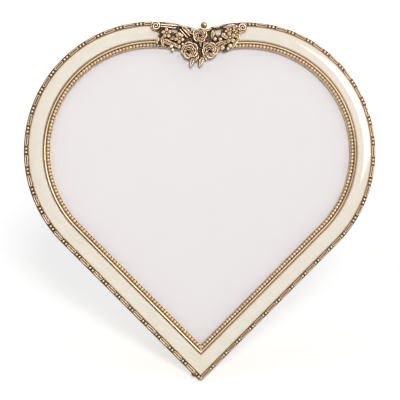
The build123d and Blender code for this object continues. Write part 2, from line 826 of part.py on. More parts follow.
# Knob, screwed into a block behind the tongue
stem_height = back_rear - BLOCK_THICKNESS / 2
block_centre = face.from_local_coords((KNOB_SHIFT, tongue_top, stem_height))
stem_top = Plane(origin=block_centre, x_dir=face.x_dir, z_dir=face.y_dir)
with BuildPart() as knob_block:
    with BuildSketch(stem_top):
        Rectangle(BLOCK_WIDTH, BLOCK_THICKNESS)
    extrude(amount=-BLOCK_HEIGHT)
    with BuildSketch(stem_top):
        Circle(STEM_RADIUS + SCREW_CLEARANCE)
    extrude(amount=-STEM_LENGTH - SCREW_CLEARANCE, mode=Mode.SUBTRACT)
    rear_edges = knob_block.edges().filter_by(up_axis).sort_by(front_axis)[:2]
    fillet(rear_edges, BLOCK_THICKNESS / 4)
knob_block.part.label = "knob_block"

ball_rise = COLLAR_HEIGHT + sqrt(KNOB_RADIUS ** 2 - KNOB_NECK_RADIUS ** 2)
with BuildPart() as pull_knob:
    with BuildSketch(stem_top):
        Circle(STEM_RADIUS)
    extrude(amount=-STEM_LENGTH)
    with BuildSketch(stem_top):
        Circle(COLLAR_RADIUS)
    extrude(amount=COLLAR_HEIGHT)
    fillet(pull_knob.edges().sort_by(Axis.Z)[-1], COLLAR_HEIGHT / 3)
    with Locations(stem_top.offset(ball_rise).location):
        Sphere(KNOB_RADIUS)
pull_knob.part.label = "pull_knob"

# Strut hinge: a leaf with two knuckles on the back, one knuckle on the strut
pin_centre = face.from_local_coords((0, HINGE_RISE, pin_height))
hinge_side = Plane(origin=pin_centre, x_dir=face.y_dir, z_dir=(1, 0, 0))
knuckle_inner = LEG_KNUCKLE_WIDTH / 2 + KNUCKLE_GAP
leaf_half_width = knuckle_inner + KNUCKLE_WIDTH
with BuildPart() as hinge_leaf:
    with BuildSketch(face.offset(back_rear)):
        with Locations((0, HINGE_RISE)):
            Rectangle(2 * leaf_half_width, LEAF_TALL, align=(Align.CENTER, Align.MIN))
            Rectangle(
                2 * knuckle_inner,
                2 * LEAF_NOTCH,
                mode=Mode.SUBTRACT,
            )
    extrude(amount=-LEAF_THICKNESS)
    fillet(hinge_leaf.edges().filter_by(front_axis).group_by(up_axis)[-1], LEAF_THICKNESS)
    for start in (-leaf_half_width, knuckle_inner):
        with BuildSketch(hinge_side.offset(start)):
            Circle(KNUCKLE_RADIUS)
            with Locations((0, PIN_DEPTH - LEAF_THICKNESS)):
                Rectangle(
                    KNUCKLE_RADIUS,
                    LEAF_THICKNESS,
                    align=(Align.MIN, Align.MIN),
                )
        extrude(amount=KNUCKLE_WIDTH)
    with BuildSketch(hinge_side.offset(-leaf_half_width)):
        Circle(PIN_RADIUS + PIN_CLEARANCE)
    extrude(amount=2 * leaf_half_width, mode=Mode.SUBTRACT)
    with Locations(*[face.location * Location((x, y, back_rear)) for x, y in hinge_rivet_spots]):
        Cylinder(
            RIVET_SHANK_RADIUS + RIVET_CLEARANCE,
            LEAF_THICKNESS,
            align=(Align.CENTER, Align.CENTER, Align.MAX),
            mode=Mode.SUBTRACT,
        )
hinge_leaf.part.label = "hinge_leaf"

hinge_rivet = rivet(LEAF_THICKNESS, BACK_THICKNESS)
with BuildPart() as hinge_rivets:
    with Locations(
        *[
            face.location * Location((x, y, back_rear - LEAF_THICKNESS))
            for x, y in hinge_rivet_spots
        ]
    ):
        add(hinge_rivet)
hinge_rivets.part.label = "hinge_rivets"

with BuildPart() as hinge_pin:
    with BuildSketch(hinge_side.offset(-leaf_half_width - PIN_OVERHANG)):
        Circle(PIN_RADIUS)
    extrude(amount=2 * (leaf_half_width + PIN_OVERHANG))
hinge_pin.part.label = "hinge_pin"

# Strut, open on its stop. Its plane runs from the pin to the ground behind.
strut = Plane(
    origin=pin_centre,
    x_dir=(1, 0, 0),
    z_dir=(0, -cos(strut_tilt), -sin(strut_tilt)),
)
tail_length = (PIN_DEPTH - STOP_GAP - LEG_THICKNESS / 2 * cos(strut_opening)) / sin(strut_opening)
leg_foot = strut_length - PAD_SOLE
leg_half_top = LEG_KNUCKLE_WIDTH / 2
with BuildPart() as strut_leg:
    with BuildSketch(strut.offset(-LEG_THICKNESS / 2)):
        with BuildLine():
            Polyline(
                (-leg_half_top, tail_length),
                (leg_half_top, tail_length),
                (leg_half_top, -LEG_SHOULDER),
                (leg_half_top + LEG_SHOULDER, -2 * LEG_SHOULDER),
                (LEG_FOOT_WIDTH / 2, -leg_foot + PAD_HEIGHT),
                (LEG_FOOT_WIDTH / 2, -leg_foot),
                (LEG_ARCH_WIDTH / 2, -leg_foot),
            )
            ThreePointArc(
                (LEG_ARCH_WIDTH / 2, -leg_foot),
                (0, -leg_foot + LEG_ARCH_HEIGHT),
                (-LEG_ARCH_WIDTH / 2, -leg_foot),
            )
            Polyline(
                (-LEG_ARCH_WIDTH / 2, -leg_foot),
                (-LEG_FOOT_WIDTH / 2, -leg_foot),
                (-LEG_FOOT_WIDTH / 2, -leg_foot + PAD_HEIGHT),
                (-leg_half_top - LEG_SHOULDER, -2 * LEG_SHOULDER),
                (-leg_half_top, -LEG_SHOULDER),
                (-leg_half_top, tail_length),
            )
        make_face()
    extrude(amount=LEG_THICKNESS)
    with BuildSketch(hinge_side.offset(-leg_half_top)):
        Circle(KNUCKLE_RADIUS)
    extrude(amount=LEG_KNUCKLE_WIDTH)
    with BuildSketch(strut.offset(-LEG_THICKNESS / 2)):
        with Locations((-LEG_RIB_SPREAD, -strut_length / 2), (LEG_RIB_SPREAD, -strut_length / 2)):
            SlotOverall(LEG_RIB_LENGTH, 2 * LEG_RIB_RADIUS, rotation=90)
    extrude(amount=-LEG_RIB_RADIUS, taper=LEG_RIB_TAPER)
    with BuildSketch(hinge_side.offset(-leg_half_top)):
        Circle(PIN_RADIUS + PIN_CLEARANCE)
    extrude(amount=LEG_KNUCKLE_WIDTH, mode=Mode.SUBTRACT)
strut_leg.part.label = "strut_leg"

# Rubber pads on the two feet, cut flat on the ground
pad_outer = LEG_FOOT_WIDTH / 2 + PAD_WALL
pad_middle = pad_outer - PAD_WIDTH / 2
with BuildPart() as foot_pads:
    with BuildSketch(strut.offset(-pad_half)):
        with Locations((-pad_middle, -leg_foot + PAD_HEIGHT), (pad_middle, -leg_foot + PAD_HEIGHT)):
            Rectangle(
                PAD_WIDTH,
                PAD_HEIGHT + 2 * PAD_SOLE,
                align=(Align.CENTER, Align.MAX),
            )
    extrude(amount=2 * pad_half)
    split(bisect_by=Plane.XY, keep=Keep.TOP)
    add(strut_leg.part, mode=Mode.SUBTRACT)
foot_pads.part.label = "foot_pads"

pieces = [
    frame_body,
    enamel_band,
    link_border_left,
    link_border_right,
    sight_rim,
    bead_strip_left,
    bead_strip_right,
    crest_garland,
    crest_screws,
    glass_pane,
    photo_insert,
    backing_card,
    pressure_springs,
    guide_rail_left,
    guide_rail_right,
    rail_rivets,
    back_plate,
    knob_block,
    pull_knob,
    hinge_leaf,
    hinge_rivets,
    hinge_pin,
    strut_leg,
    foot_pads,
]
os.makedirs("parts", exist_ok=True)
for piece in pieces:
    export_step(piece.part, "parts/" + piece.part.label + ".step")
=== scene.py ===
import bpy
import bmesh
import json
import numpy as np
from math import acos, atan2, cos, degrees, hypot, pi, radians, sin, sqrt
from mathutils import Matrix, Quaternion, Vector


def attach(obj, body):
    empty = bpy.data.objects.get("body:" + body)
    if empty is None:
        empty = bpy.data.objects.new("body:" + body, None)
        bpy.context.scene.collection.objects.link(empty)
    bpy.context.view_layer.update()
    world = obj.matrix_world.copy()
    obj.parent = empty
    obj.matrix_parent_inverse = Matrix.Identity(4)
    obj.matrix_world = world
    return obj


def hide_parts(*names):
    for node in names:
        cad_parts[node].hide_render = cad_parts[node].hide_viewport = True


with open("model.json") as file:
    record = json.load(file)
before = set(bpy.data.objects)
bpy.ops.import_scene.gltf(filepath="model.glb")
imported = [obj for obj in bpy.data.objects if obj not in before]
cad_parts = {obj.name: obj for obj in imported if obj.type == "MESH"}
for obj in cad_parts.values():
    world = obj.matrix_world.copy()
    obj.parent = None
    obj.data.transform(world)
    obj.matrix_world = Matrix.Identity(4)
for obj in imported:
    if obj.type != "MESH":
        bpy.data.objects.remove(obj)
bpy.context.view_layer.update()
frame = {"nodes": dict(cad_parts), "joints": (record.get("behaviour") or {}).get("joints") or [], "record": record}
nodes = frame["nodes"]
scene = bpy.context.scene
SEED = 7
rng = np.random.default_rng(SEED)

# --- Sizes of the part, in millimetres, as in its source
MM = 1000
LOBE_RADIUS = 55.2
LOBE_OFFSET = 19.8
SIDE = radians(45.0)
HINGE_RISE = 96.0
PIN_BEHIND = 3.3

EDGE_CHAMFER = 0.3
SHELF_WIDTH = 1.9
SHELF_HEIGHT = 4.4
FENCE_WIDTH = 0.3
FENCE_HEIGHT = 5.5
ENAMEL_WIDTH = 5.8
ENAMEL_FLOOR = 3.4
ENAMEL_CROWN = 0.8
GROOVE_WIDTH = 0.3
FLANGE_WIDTH = 2.5
FLANGE_HEIGHT = 4.9
POCKET_LIP = 1.7
POCKET_DEPTH = 4.0

LINK_MARGIN = 0.1
LINK_BASE = 0.4
LINK_RAIL_WIDTH = 0.25
LINK_RAIL_HEIGHT = 0.4
LINK_PITCH_SIDE = 7.95
LINK_PITCH_LOBE = 8.75
LINK_START_RIGHT = 2.7
LINK_START_LEFT = 5.95
LINK_LENGTH = 4.8
LINK_WIDTH = 1.15
LINK_HEIGHT = 0.75
LINK_BEAD_RADIUS = 0.5
LINK_BEAD_GAP = 1.55

RIM_WIDTH = 0.6
RIM_HEIGHT = 1.3
BEAD_RADIUS = 0.73
BEAD_PITCH = 1.5
BEAD_BASE = 0.25
BEAD_RAIL_WIDTH = 0.25
BEAD_RAIL_HEIGHT = 0.6
BEAD_RAIL_CLEARANCE = 0.06

fence_inset = SHELF_WIDTH + FENCE_WIDTH
enamel_inner = fence_inset + ENAMEL_WIDTH
groove_inset = enamel_inner + FENCE_WIDTH
rim_inset = groove_inset + GROOVE_WIDTH
sight_inset = rim_inset + FLANGE_WIDTH
pocket_inset = sight_inset - POCKET_LIP
enamel_middle = fence_inset + ENAMEL_WIDTH / 2
enamel_top = FENCE_HEIGHT + ENAMEL_CROWN
bead_strip_inset = rim_inset + RIM_WIDTH
bead_inset = (bead_strip_inset + sight_inset - BEAD_RAIL_WIDTH) / 2
link_inset = SHELF_WIDTH / 2
link_base_top = SHELF_HEIGHT + LINK_BASE
bead_base_top = FLANGE_HEIGHT + BEAD_BASE
lobe_rise = (LOBE_RADIUS + LOBE_OFFSET * cos(SIDE)) / sin(SIDE)

# The frame's own plane, from the joints: up along the slide, and the hinge pin
slide, fold = frame["joints"]
UP = np.array(slide["axis"], float)
UP /= np.linalg.norm(UP)
FRONT = np.array((0.0, -UP[2], UP[1]))
ACROSS = np.array((1.0, 0.0, 0.0))
ORIGIN = np.array(fold["pos_m"], float) * MM - UP * HINGE_RISE + FRONT * PIN_BEHIND


def place(points):
    """Points (across, up, front) of the frame's plane, in mm, to metres."""
    p = np.asarray(points, float).reshape(-1, 3)
    return (ORIGIN + p[:, :1] * ACROSS + p[:, 1:2] * UP + p[:, 2:3] * FRONT) / MM


def side_length(inset):
    return (lobe_rise - (LOBE_RADIUS - inset) * sin(SIDE) - inset / sin(SIDE)) / cos(SIDE)


def dip_angle(inset):
    """Angle on the lobe, from its centre, at which the middle line is met."""
    return np.arccos(-LOBE_OFFSET / (LOBE_RADIUS - inset))


def half_length(inset):
    return side_length(inset) + (LOBE_RADIUS - inset) * (dip_angle(inset) + SIDE)


def edge(base, distance, inset):
    """Point on the right half at a distance along the line of one inset, moved
    square to that line to another inset."""
    distance, inset = np.broadcast_arrays(distance, inset)
    straight = side_length(base)
    turn = (distance - straight) / (LOBE_RADIUS - base)
    on_side = distance < straight
    angle = np.where(on_side, 0.0, turn) - SIDE
    shoulder_x = LOBE_OFFSET + (LOBE_RADIUS - inset) * np.cos(angle)
    shoulder_y = lobe_rise + (LOBE_RADIUS - inset) * np.sin(angle)
    back = np.where(on_side, distance - straight, 0.0)
    return shoulder_x + back * sin(SIDE), shoulder_y + back * cos(SIDE)


def add(name, data):
    obj = bpy.data.objects.new(name, data)
    scene.collection.objects.link(obj)
    return obj


class Shape:
    """Gathers patches of points and faces in the frame's plane, in mm, with a share
    of patina at each point, which also carries painted shade and painted light."""

    def __init__(self):
        self.points, self.faces, self.patina, self.count = [], [], [], 0

    def put(self, points, faces, patina=0.0):
        points = np.asarray(points, float).reshape(-1, 3)
        faces = np.asarray(faces, int)
        self.points.append(points)
        self.patina.append(np.zeros(len(points)) + patina)
        self.faces.extend((faces + self.count).tolist())
        self.count += len(points)

    def build(self, name, material, smooth=True, side=1):
        """Object of the gathered patches, mirrored where the side is -1."""
        points = place(np.concatenate(self.points) * (side, 1, 1))
        mesh = bpy.data.meshes.new(name)
        mesh.from_pydata(points.tolist(), [], [f[::side] for f in self.faces])
        mesh.validate()
        layer = mesh.attributes.new("patina", "FLOAT", "POINT")
        layer.data.foreach_set("value", np.concatenate(self.patina).astype(np.float32))
        mesh.polygons.foreach_set("use_smooth", [smooth] * len(mesh.polygons))
        mesh.materials.append(material)
        return add(name, mesh)


def grid_faces(rows, columns, wrap_rows=False, wrap_columns=False):
    """Quads of a grid of points, rows first."""
    r = np.arange(rows if wrap_rows else rows - 1)
    c = np.arange(columns if wrap_columns else columns - 1)
    r, c = [a.ravel() for a in np.meshgrid(r, c, indexing="ij")]
    r1, c1 = (r + 1) % rows, (c + 1) % columns
    return np.stack([r * columns + c, r * columns + c1, r1 * columns + c1, r1 * columns + c], 1)


def stations(side=90, lobe=150):
    """Shares along one half: (0..1) up the straight side, (1..2) round the lobe."""
    s = np.linspace(0, 1, side, endpoint=False)
    return np.concatenate([s, 1 + np.linspace(0, 1, lobe)])


def ring_line(share, inset):
    """Points of the right half at the shares, mitred at the two corners."""
    radius = LOBE_RADIUS - inset
    tip = inset / sin(SIDE)
    sx = LOBE_OFFSET + radius * cos(SIDE)
    sy = lobe_rise - radius * sin(SIDE)
    turn = -SIDE + np.clip(share - 1, 0, 1) * (np.arccos(-LOBE_OFFSET / radius) + SIDE)
    low = np.clip(share, 0, 1)
    x = np.where(share < 1, sx * low, LOBE_OFFSET + radius * np.cos(turn))
    y = np.where(share < 1, tip + (sy - tip) * low, lobe_rise + radius * np.sin(turn))
    return x, y


def right_half(profile, lift=None):
    """Rows of points of a profile (inset, height) swept up the right half."""
    profile = np.asarray(profile, float)
    s, i = np.meshgrid(stations(), profile[:, 0], indexing="ij")
    x, y = ring_line(s, i)
    z = np.broadcast_to(profile[:, 1], x.shape)
    return np.stack([x, y, z if lift is None else z + lift(x, y, i)], -1)


def sweep(shape, profile, patina, lift=None):
    """Sweeps a closed profile round the whole heart."""
    right = right_half(profile, lift)
    left = right[1:-1][::-1] * (-1, 1, 1)
    both = np.concatenate([right, left])
    faces = grid_faces(len(both), len(profile), wrap_rows=True, wrap_columns=True)
    shape.put(both, faces, np.tile(patina, len(both)))


# --- Materials. Colours are linear; distances of a bump are in metres
CLOUD_FROM, CLOUD_TO = 0.3, 0.7
TARNISH_FROM, TARNISH_TO = 0.38, 0.68
NOISE_MIDDLE = 0.5
PATINA_DULLING = 0.45
PIT_SCALE = 0.8
PIT_STRENGTH = 0.5
LINE_SPREAD = 0.16


def material(name):
    mat = bpy.data.materials.new(name)
    mat.use_nodes = True
    tree = mat.node_tree
    return mat, tree, tree.nodes["Principled BSDF"]


def fill(node, **values):
    """Sets inputs by name, a space in a name written as _."""
    for name, value in values.items():
        node.inputs[name.replace("_", " ")].default_value = value


def noise(tree, scale, detail=3.0, distortion=0.0, stretch=(1, 1, 1)):
    node = tree.nodes.new("ShaderNodeTexNoise")
    fill(node, Scale=scale, Detail=detail, Distortion=distortion)
    coords = tree.nodes.new("ShaderNodeTexCoord")
    mapping = tree.nodes.new("ShaderNodeMapping")
    fill(mapping, Scale=stretch)
    tree.links.new(coords.outputs["Object"], mapping.inputs["Vector"])
    tree.links.new(mapping.outputs["Vector"], node.inputs["Vector"])
    return node.outputs["Fac"]


def ramp(tree, fac, stops):
    node = tree.nodes.new("ShaderNodeValToRGB")
    elements = node.color_ramp.elements
    while len(elements) < len(stops):
        elements.new(0.5)
    for element, (position, colour) in zip(elements, stops):
        element.position = position
        element.color = (*colour, 1)
    tree.links.new(fac, node.inputs["Fac"])
    return node.outputs["Color"]


def maths(tree, operation, *values, clamp=False):
    node = tree.nodes.new("ShaderNodeMath")
    node.operation = operation
    node.use_clamp = clamp
    for socket, value in zip(node.inputs, values):
        if isinstance(value, (int, float)):
            socket.default_value = value
        else:
            tree.links.new(value, socket)
    return node.outputs[0]


def bump(tree, shader, height, strength, distance):
    node = tree.nodes.new("ShaderNodeBump")
    fill(node, Strength=strength, Distance=distance)
    tree.links.new(height, node.inputs["Height"])
    tree.links.new(node.outputs["Normal"], shader.inputs["Normal"])


def metal_with_patina_and_painted_light(name, stops, rough=(0.28, 0.55), grain=2600, mottle=0.22, bump_size=0.00003):
    """Cast metal: bright where it is rubbed, dark where patina sits; the same share also carries painted shade and
    painted light.
    """
    mat, tree, shader = material(name)
    layer = tree.nodes.new("ShaderNodeAttribute")
    layer.attribute_name = "patina"
    spots = noise(tree, scale=grain)
    shade = maths(tree, "SUBTRACT", spots, NOISE_MIDDLE)
    shade = maths(tree, "MULTIPLY_ADD", shade, mottle, layer.outputs["Fac"], clamp=True)
    tree.links.new(ramp(tree, shade, stops), shader.inputs["Base Color"])
    span = maths(tree, "MULTIPLY_ADD", shade, rough[1] - rough[0], rough[0])
    tree.links.new(span, shader.inputs["Roughness"])
    metal = maths(tree, "MULTIPLY_ADD", shade, -PATINA_DULLING, 1.0)
    tree.links.new(metal, shader.inputs["Metallic"])
    pits = noise(tree, scale=grain * PIT_SCALE, detail=4)
    bump(tree, shader, pits, PIT_STRENGTH, bump_size)
    return mat


wire = metal_with_patina_and_painted_light(
    "wire_bronze",
    [
        (0.0, (1.0, 0.82, 0.58)), (0.3, (0.66, 0.45, 0.27)),
        (0.65, (0.20, 0.11, 0.05)), (1.0, (0.05, 0.028, 0.014)),
    ],
)
beading = metal_with_patina_and_painted_light(
    "bead_bronze",
    [
        (0.0, (0.73, 0.565, 0.395)), (0.35, (0.52, 0.365, 0.225)),
        (0.75, (0.27, 0.145, 0.065)), (1.0, (0.10, 0.05, 0.02)),
    ],
    rough=(0.36, 0.6),
)
casting = metal_with_patina_and_painted_light(
    "cast_bronze",
    [
        (0.0, (0.96, 0.76, 0.58)), (0.35, (0.53, 0.36, 0.215)),
        (0.75, (0.20, 0.11, 0.05)), (1.0, (0.06, 0.032, 0.016)),
    ],
    rough=(0.34, 0.6),
)
polished = metal_with_patina_and_painted_light(
    "polished_bronze",
    [(0.0, (0.96, 0.78, 0.54)), (0.5, (0.62, 0.43, 0.23)), (1.0, (0.12, 0.07, 0.03))],
    rough=(0.16, 0.4),
    mottle=0.12,
    bump_size=0.00001,
)
crest_metal = metal_with_patina_and_painted_light(
    "crest_bronze",
    [
        (0.0, (1.0, 0.82, 0.61)), (0.25, (0.62, 0.44, 0.27)),
        (0.55, (0.22, 0.13, 0.065)), (1.0, (0.03, 0.02, 0.012)),
    ],
    rough=(0.16, 0.5),
    mottle=0.36,
    bump_size=0.00014,
)


def clouded(tree, shader, cloud, dark, light):
    """Base colour that drifts between two tones."""
    colour = ramp(tree, cloud, [(CLOUD_FROM, dark), (CLOUD_TO, light)])
    tree.links.new(colour, shader.inputs["Base Color"])


enamel, tree, shader = material("cream_enamel")
clouded(tree, shader, noise(tree, scale=160), (0.725, 0.665, 0.55), (0.765, 0.705, 0.595))
fill(shader, Roughness=0.12, IOR=1.5, Coat_Weight=0.6, Coat_Roughness=0.03)
bump(tree, shader, noise(tree, scale=260, detail=2), strength=0.15, distance=0.00006)


def plain(name, colour, roughness):
    mat, tree, shader = material(name)
    fill(shader, Base_Color=(*colour, 1), Roughness=roughness)
    return mat, tree, shader


def brushed(name, bright, dull, roughness, stretch=(1, 1, 1), grain=900, patch=60):
    """Sheet or turned metal with fine lines and a faint tarnish."""
    mat, tree, shader = material(name)
    lines = noise(tree, scale=grain, detail=4, stretch=stretch)
    tarnish = noise(tree, scale=patch, detail=4, distortion=0.6)
    colour = ramp(tree, tarnish, [(TARNISH_FROM, bright), (TARNISH_TO, dull)])
    tree.links.new(colour, shader.inputs["Base Color"])
    least = roughness - LINE_SPREAD / 2
    fine = maths(tree, "MULTIPLY_ADD", lines, LINE_SPREAD, least)
    tree.links.new(fine, shader.inputs["Roughness"])
    fill(shader, Metallic=1.0)
    bump(tree, shader, lines, strength=0.35, distance=0.00002)
    return mat


FINE_GRAIN = 1500
sheet = brushed(
    "brass_sheet", (0.56, 0.43, 0.20), (0.48, 0.37, 0.175), roughness=0.36, stretch=(0.05, 1, 1)
)
turned = brushed(
    "brass_turned", (0.40, 0.32, 0.165), (0.34, 0.27, 0.13), roughness=0.2, grain=FINE_GRAIN
)
steel = brushed(
    "steel", (0.50, 0.50, 0.50), (0.40, 0.39, 0.38), roughness=0.3, grain=FINE_GRAIN
)


def fibrous(name, dark, light, roughness, scale, detail, strength, distance):
    """Paper or board."""
    mat, tree, shader = material(name)
    fibres = noise(tree, scale, detail)
    clouded(tree, shader, fibres, dark, light)
    fill(shader, Roughness=roughness)
    bump(tree, shader, fibres, strength, distance)
    return mat


paper = fibrous(
    "bare_card", (0.738, 0.703, 0.703), (0.785, 0.75, 0.75), roughness=0.75,
    scale=2200, detail=5, strength=0.12, distance=0.00003,
)
board = fibrous(
    "grey_board", (0.20, 0.155, 0.11), (0.30, 0.24, 0.17), roughness=0.9,
    scale=900, detail=6, strength=0.4, distance=0.0001,
)
glass, tree, shader = plain("clear_glass", (0.97, 0.98, 0.98), roughness=0.02)
fill(shader, Alpha=0.05)
rubber, tree, shader = plain("rubber", (0.018, 0.018, 0.018), roughness=0.7)
bump(tree, shader, noise(tree, scale=3000), strength=0.3, distance=0.00004)

finishes = dict(
    cast_bronze=casting, crest_bronze=crest_metal, polished_bronze=polished, enamel=enamel,
    glass=glass, paper=paper, card=board, brass_sheet=sheet, brass_turned=turned, steel=steel,
    rubber=rubber,
)
for entry in frame["record"]["subparts"]:
    slots = nodes[entry["node"]].data.materials
    slots.clear()
    slots.append(finishes[entry["material_slot"]])


# --- Cast ring
def rounded(points, size, steps=3, most=0.45):
    """Closed outline with each corner cut back and rounded, at most by a share of its sides."""
    points = [np.array(p, float) for p in points]
    out = []
    for k, p in enumerate(points):
        a, b = points[k - 1], points[(k + 1) % len(points)]
        r = min(size, most * np.linalg.norm(a - p), most * np.linalg.norm(b - p))
        u, v = (a - p) / np.linalg.norm(a - p), (b - p) / np.linalg.norm(b - p)
        for t in np.linspace(0, 1, steps):
            out.append((1 - t) ** 2 * (p + u * r) + 2 * t * (1 - t) * p + t ** 2 * (p + v * r))
    return np.array(out)


ring_outline = [
    (0, 0), (0, SHELF_HEIGHT - EDGE_CHAMFER), (EDGE_CHAMFER, SHELF_HEIGHT),
    (SHELF_WIDTH, SHELF_HEIGHT), (SHELF_WIDTH, FENCE_HEIGHT), (fence_inset, FENCE_HEIGHT),
    (fence_inset, ENAMEL_FLOOR), (enamel_inner, ENAMEL_FLOOR), (enamel_inner, FENCE_HEIGHT),
    (groove_inset, FENCE_HEIGHT), (groove_inset, FLANGE_HEIGHT), (sight_inset, FLANGE_HEIGHT),
    (sight_inset, POCKET_DEPTH), (pocket_inset, POCKET_DEPTH), (pocket_inset, 0),
]
CORNER_ROUNDING = 0.09
# How far round a corner its patina reaches, and the patina of each part, with painted shade in the groove
PATINA_REACH = 0.1
WALL_REACH = 0.2
CORNER_REACH = 0.12
REST_PATINA = 0.52
SHELF_PATINA = 0.95
WALL_PATINA = 0.78
OUTER_FENCE_PATINA = 0.4
INNER_FENCE_PATINA = 0.5
# Painted shade: the groove is darkened beyond its patina, for the shade between its walls.
GROOVE_PATINA_AND_SHADE = 0.65
profile = rounded(ring_outline, CORNER_ROUNDING)
shade = np.full(len(profile), REST_PATINA)
for k, (i, h) in enumerate(profile):
    on_shelf = abs(h - SHELF_HEIGHT) < PATINA_REACH
    if SHELF_WIDTH - PATINA_REACH > i > WALL_REACH and on_shelf:
        shade[k] = SHELF_PATINA
    if i < WALL_REACH and h > EDGE_CHAMFER:
        shade[k] = WALL_PATINA
    if h > FENCE_HEIGHT - CORNER_REACH:
        shade[k] = OUTER_FENCE_PATINA if i < enamel_middle else INNER_FENCE_PATINA
    below_fence = h < FENCE_HEIGHT - PATINA_REACH / 2
    if groove_inset - CORNER_REACH < i < rim_inset + PATINA_REACH and below_fence:
        shade[k] = GROOVE_PATINA_AND_SHADE
ring = Shape()
sweep(ring, profile, shade)
ring_obj = ring.build("ring_casting", casting)


def cut_off(obj, point, outward, closed=True):
    """Takes off what lies outward of a plane, and can close the cut."""
    bm = bmesh.new()
    bm.from_mesh(obj.data)
    geometry = bm.verts[:] + bm.edges[:] + bm.faces[:]
    cut = bmesh.ops.bisect_plane(
        bm, geom=geometry, plane_co=point, plane_no=outward, clear_outer=True
    )
    if closed:
        rim = [e for e in cut["geom_cut"] if isinstance(e, bmesh.types.BMEdge)]
        bmesh.ops.holes_fill(bm, edges=rim)
    bm.to_mesh(obj.data)
    bm.free()


cut_off(ring_obj, (0, 0, 0), (0, 0, -1))
# The sharp corner is filed round, and its flat on the floor stays behind it
TIP_ROUNDING = 1.3
TIP_CUTS = (-22.5, 0, 22.5)
for angle in TIP_CUTS:
    outward = sin(radians(angle)) * ACROSS - cos(radians(angle)) * UP
    foot = place((0, TIP_ROUNDING / sin(SIDE), 0))[0] + outward * TIP_ROUNDING / MM
    cut_off(ring_obj, tuple(foot), tuple(outward))
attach(ring_obj, "frame")
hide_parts("frame_body")

# Enamel: flat on its inner part, falling away more and more to its outer edge
half_band = ENAMEL_WIDTH / 2
crown_radius = (half_band ** 2 + ENAMEL_CROWN ** 2) / (2 * ENAMEL_CROWN)
FLAT_FROM = 0.1
FLAT_TO = 0.82
FLAT_FALL = radians(0.4)
FIRST_FALL = radians(4.5)
LAST_FALL = radians(19.0)
FACE_POINTS = 38
LIP_POINTS = 8
across = np.linspace(-1, FLAT_TO, FACE_POINTS)
across = np.concatenate([across, np.linspace(FLAT_TO, 1, LIP_POINTS)[1:]])
turned_down = np.clip((FLAT_FROM - across) / (1 + FLAT_FROM), 0, 1)
slope = np.where(across > FLAT_FROM, FLAT_FALL, FIRST_FALL + (LAST_FALL - FIRST_FALL) * turned_down)
slope = np.where(across > FLAT_TO, 0.0, np.tan(slope))
rise = np.concatenate([[0], np.cumsum((slope[1:] + slope[:-1]) / 2 * np.diff(across) * half_band)])
rise *= ENAMEL_CROWN / rise.max()
rise *= np.sqrt(np.clip((1 - across) / (1 - FLAT_TO), 0, 1))
top = list(zip(enamel_middle + half_band * across, FENCE_HEIGHT + rise))
profile = [(fence_inset, ENAMEL_FLOOR)] + top + [(enamel_inner, ENAMEL_FLOOR)]


# Strength, turns across and up, and phase of each wave
WAVES = ((1.0, 0.21, 0.13, 0.7), (0.7, -0.17, 0.31, 2.1), (0.5, 0.47, -0.38, 4.0))
WAVE_DEPTH = 0.012


def unevenness(x, y, inset):
    """The faint waves of hand laid enamel, all of them below its crown."""
    wave = sum(s * np.sin(a * x + b * y + phase) for s, a, b, phase in WAVES)
    highest = sum(s for s, a, b, phase in WAVES)
    share = np.clip(1 - ((inset - enamel_middle) / half_band) ** 2, 0, 1)
    return -WAVE_DEPTH * share * (wave + highest)


band = Shape()
sweep(band, profile, np.zeros(len(profile)), lift=unevenness)
band_obj = band.build("enamel_coat", enamel)
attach(band_obj, "frame")
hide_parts("enamel_band")

# Polished lip: how far in from its outer and from its inner edge, drop, patina
LIP_OUTSIDE = ((0.0, 0.08, 0.5), (0.03, 0.02, 0.2), (0.08, 0.0, 0.08), (0.14, 0.03, 0.1))
LIP_INSIDE = ((0.08, 0.3, 0.5), (0.02, 0.36, 0.6), (0.0, 0.46, 0.7))
LIP_FOOT_PATINA = (0.8, 0.9)
rim_top = FLANGE_HEIGHT + RIM_HEIGHT
profile = [(rim_inset, FLANGE_HEIGHT)]
profile += [(rim_inset + inward, rim_top - drop) for inward, drop, tone in LIP_OUTSIDE]
profile += [(bead_strip_inset - back, rim_top - drop) for back, drop, tone in LIP_INSIDE]
profile.append((bead_strip_inset, FLANGE_HEIGHT))
tones = [row[-1] for row in LIP_OUTSIDE + LIP_INSIDE]
tones = [LIP_FOOT_PATINA[0], *tones, LIP_FOOT_PATINA[1]]
lip = Shape()
sweep(lip, profile, tones)
lip_obj = lip.build("sight_lip", polished)
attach(lip_obj, "frame")
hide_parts("sight_rim")


# --- Bead strips and link borders: built on the right half, cut at the middle line
# Painted light: patina is thinned up on the lobes, so that strips and rails read lighter, as if lit from above.
LOBE_PAINTED_LIGHT = 0.16
PAINTED_LIGHT_RUN = 25.0


def strip(shape, profile, patina):
    """Sweeps a profile up the right half alone, its patina thinned on the lobe as painted light, as if lit from
    above.
    """
    points = right_half(profile)
    painted_light_share = LOBE_PAINTED_LIGHT * np.clip((points[..., 1] - lobe_rise + PAINTED_LIGHT_RUN) / PAINTED_LIGHT_RUN, 0, 1)
    shape.put(points, grid_faces(len(points), len(profile)), (patina * (1 - painted_light_share)).ravel())


DARKENING = 1.5


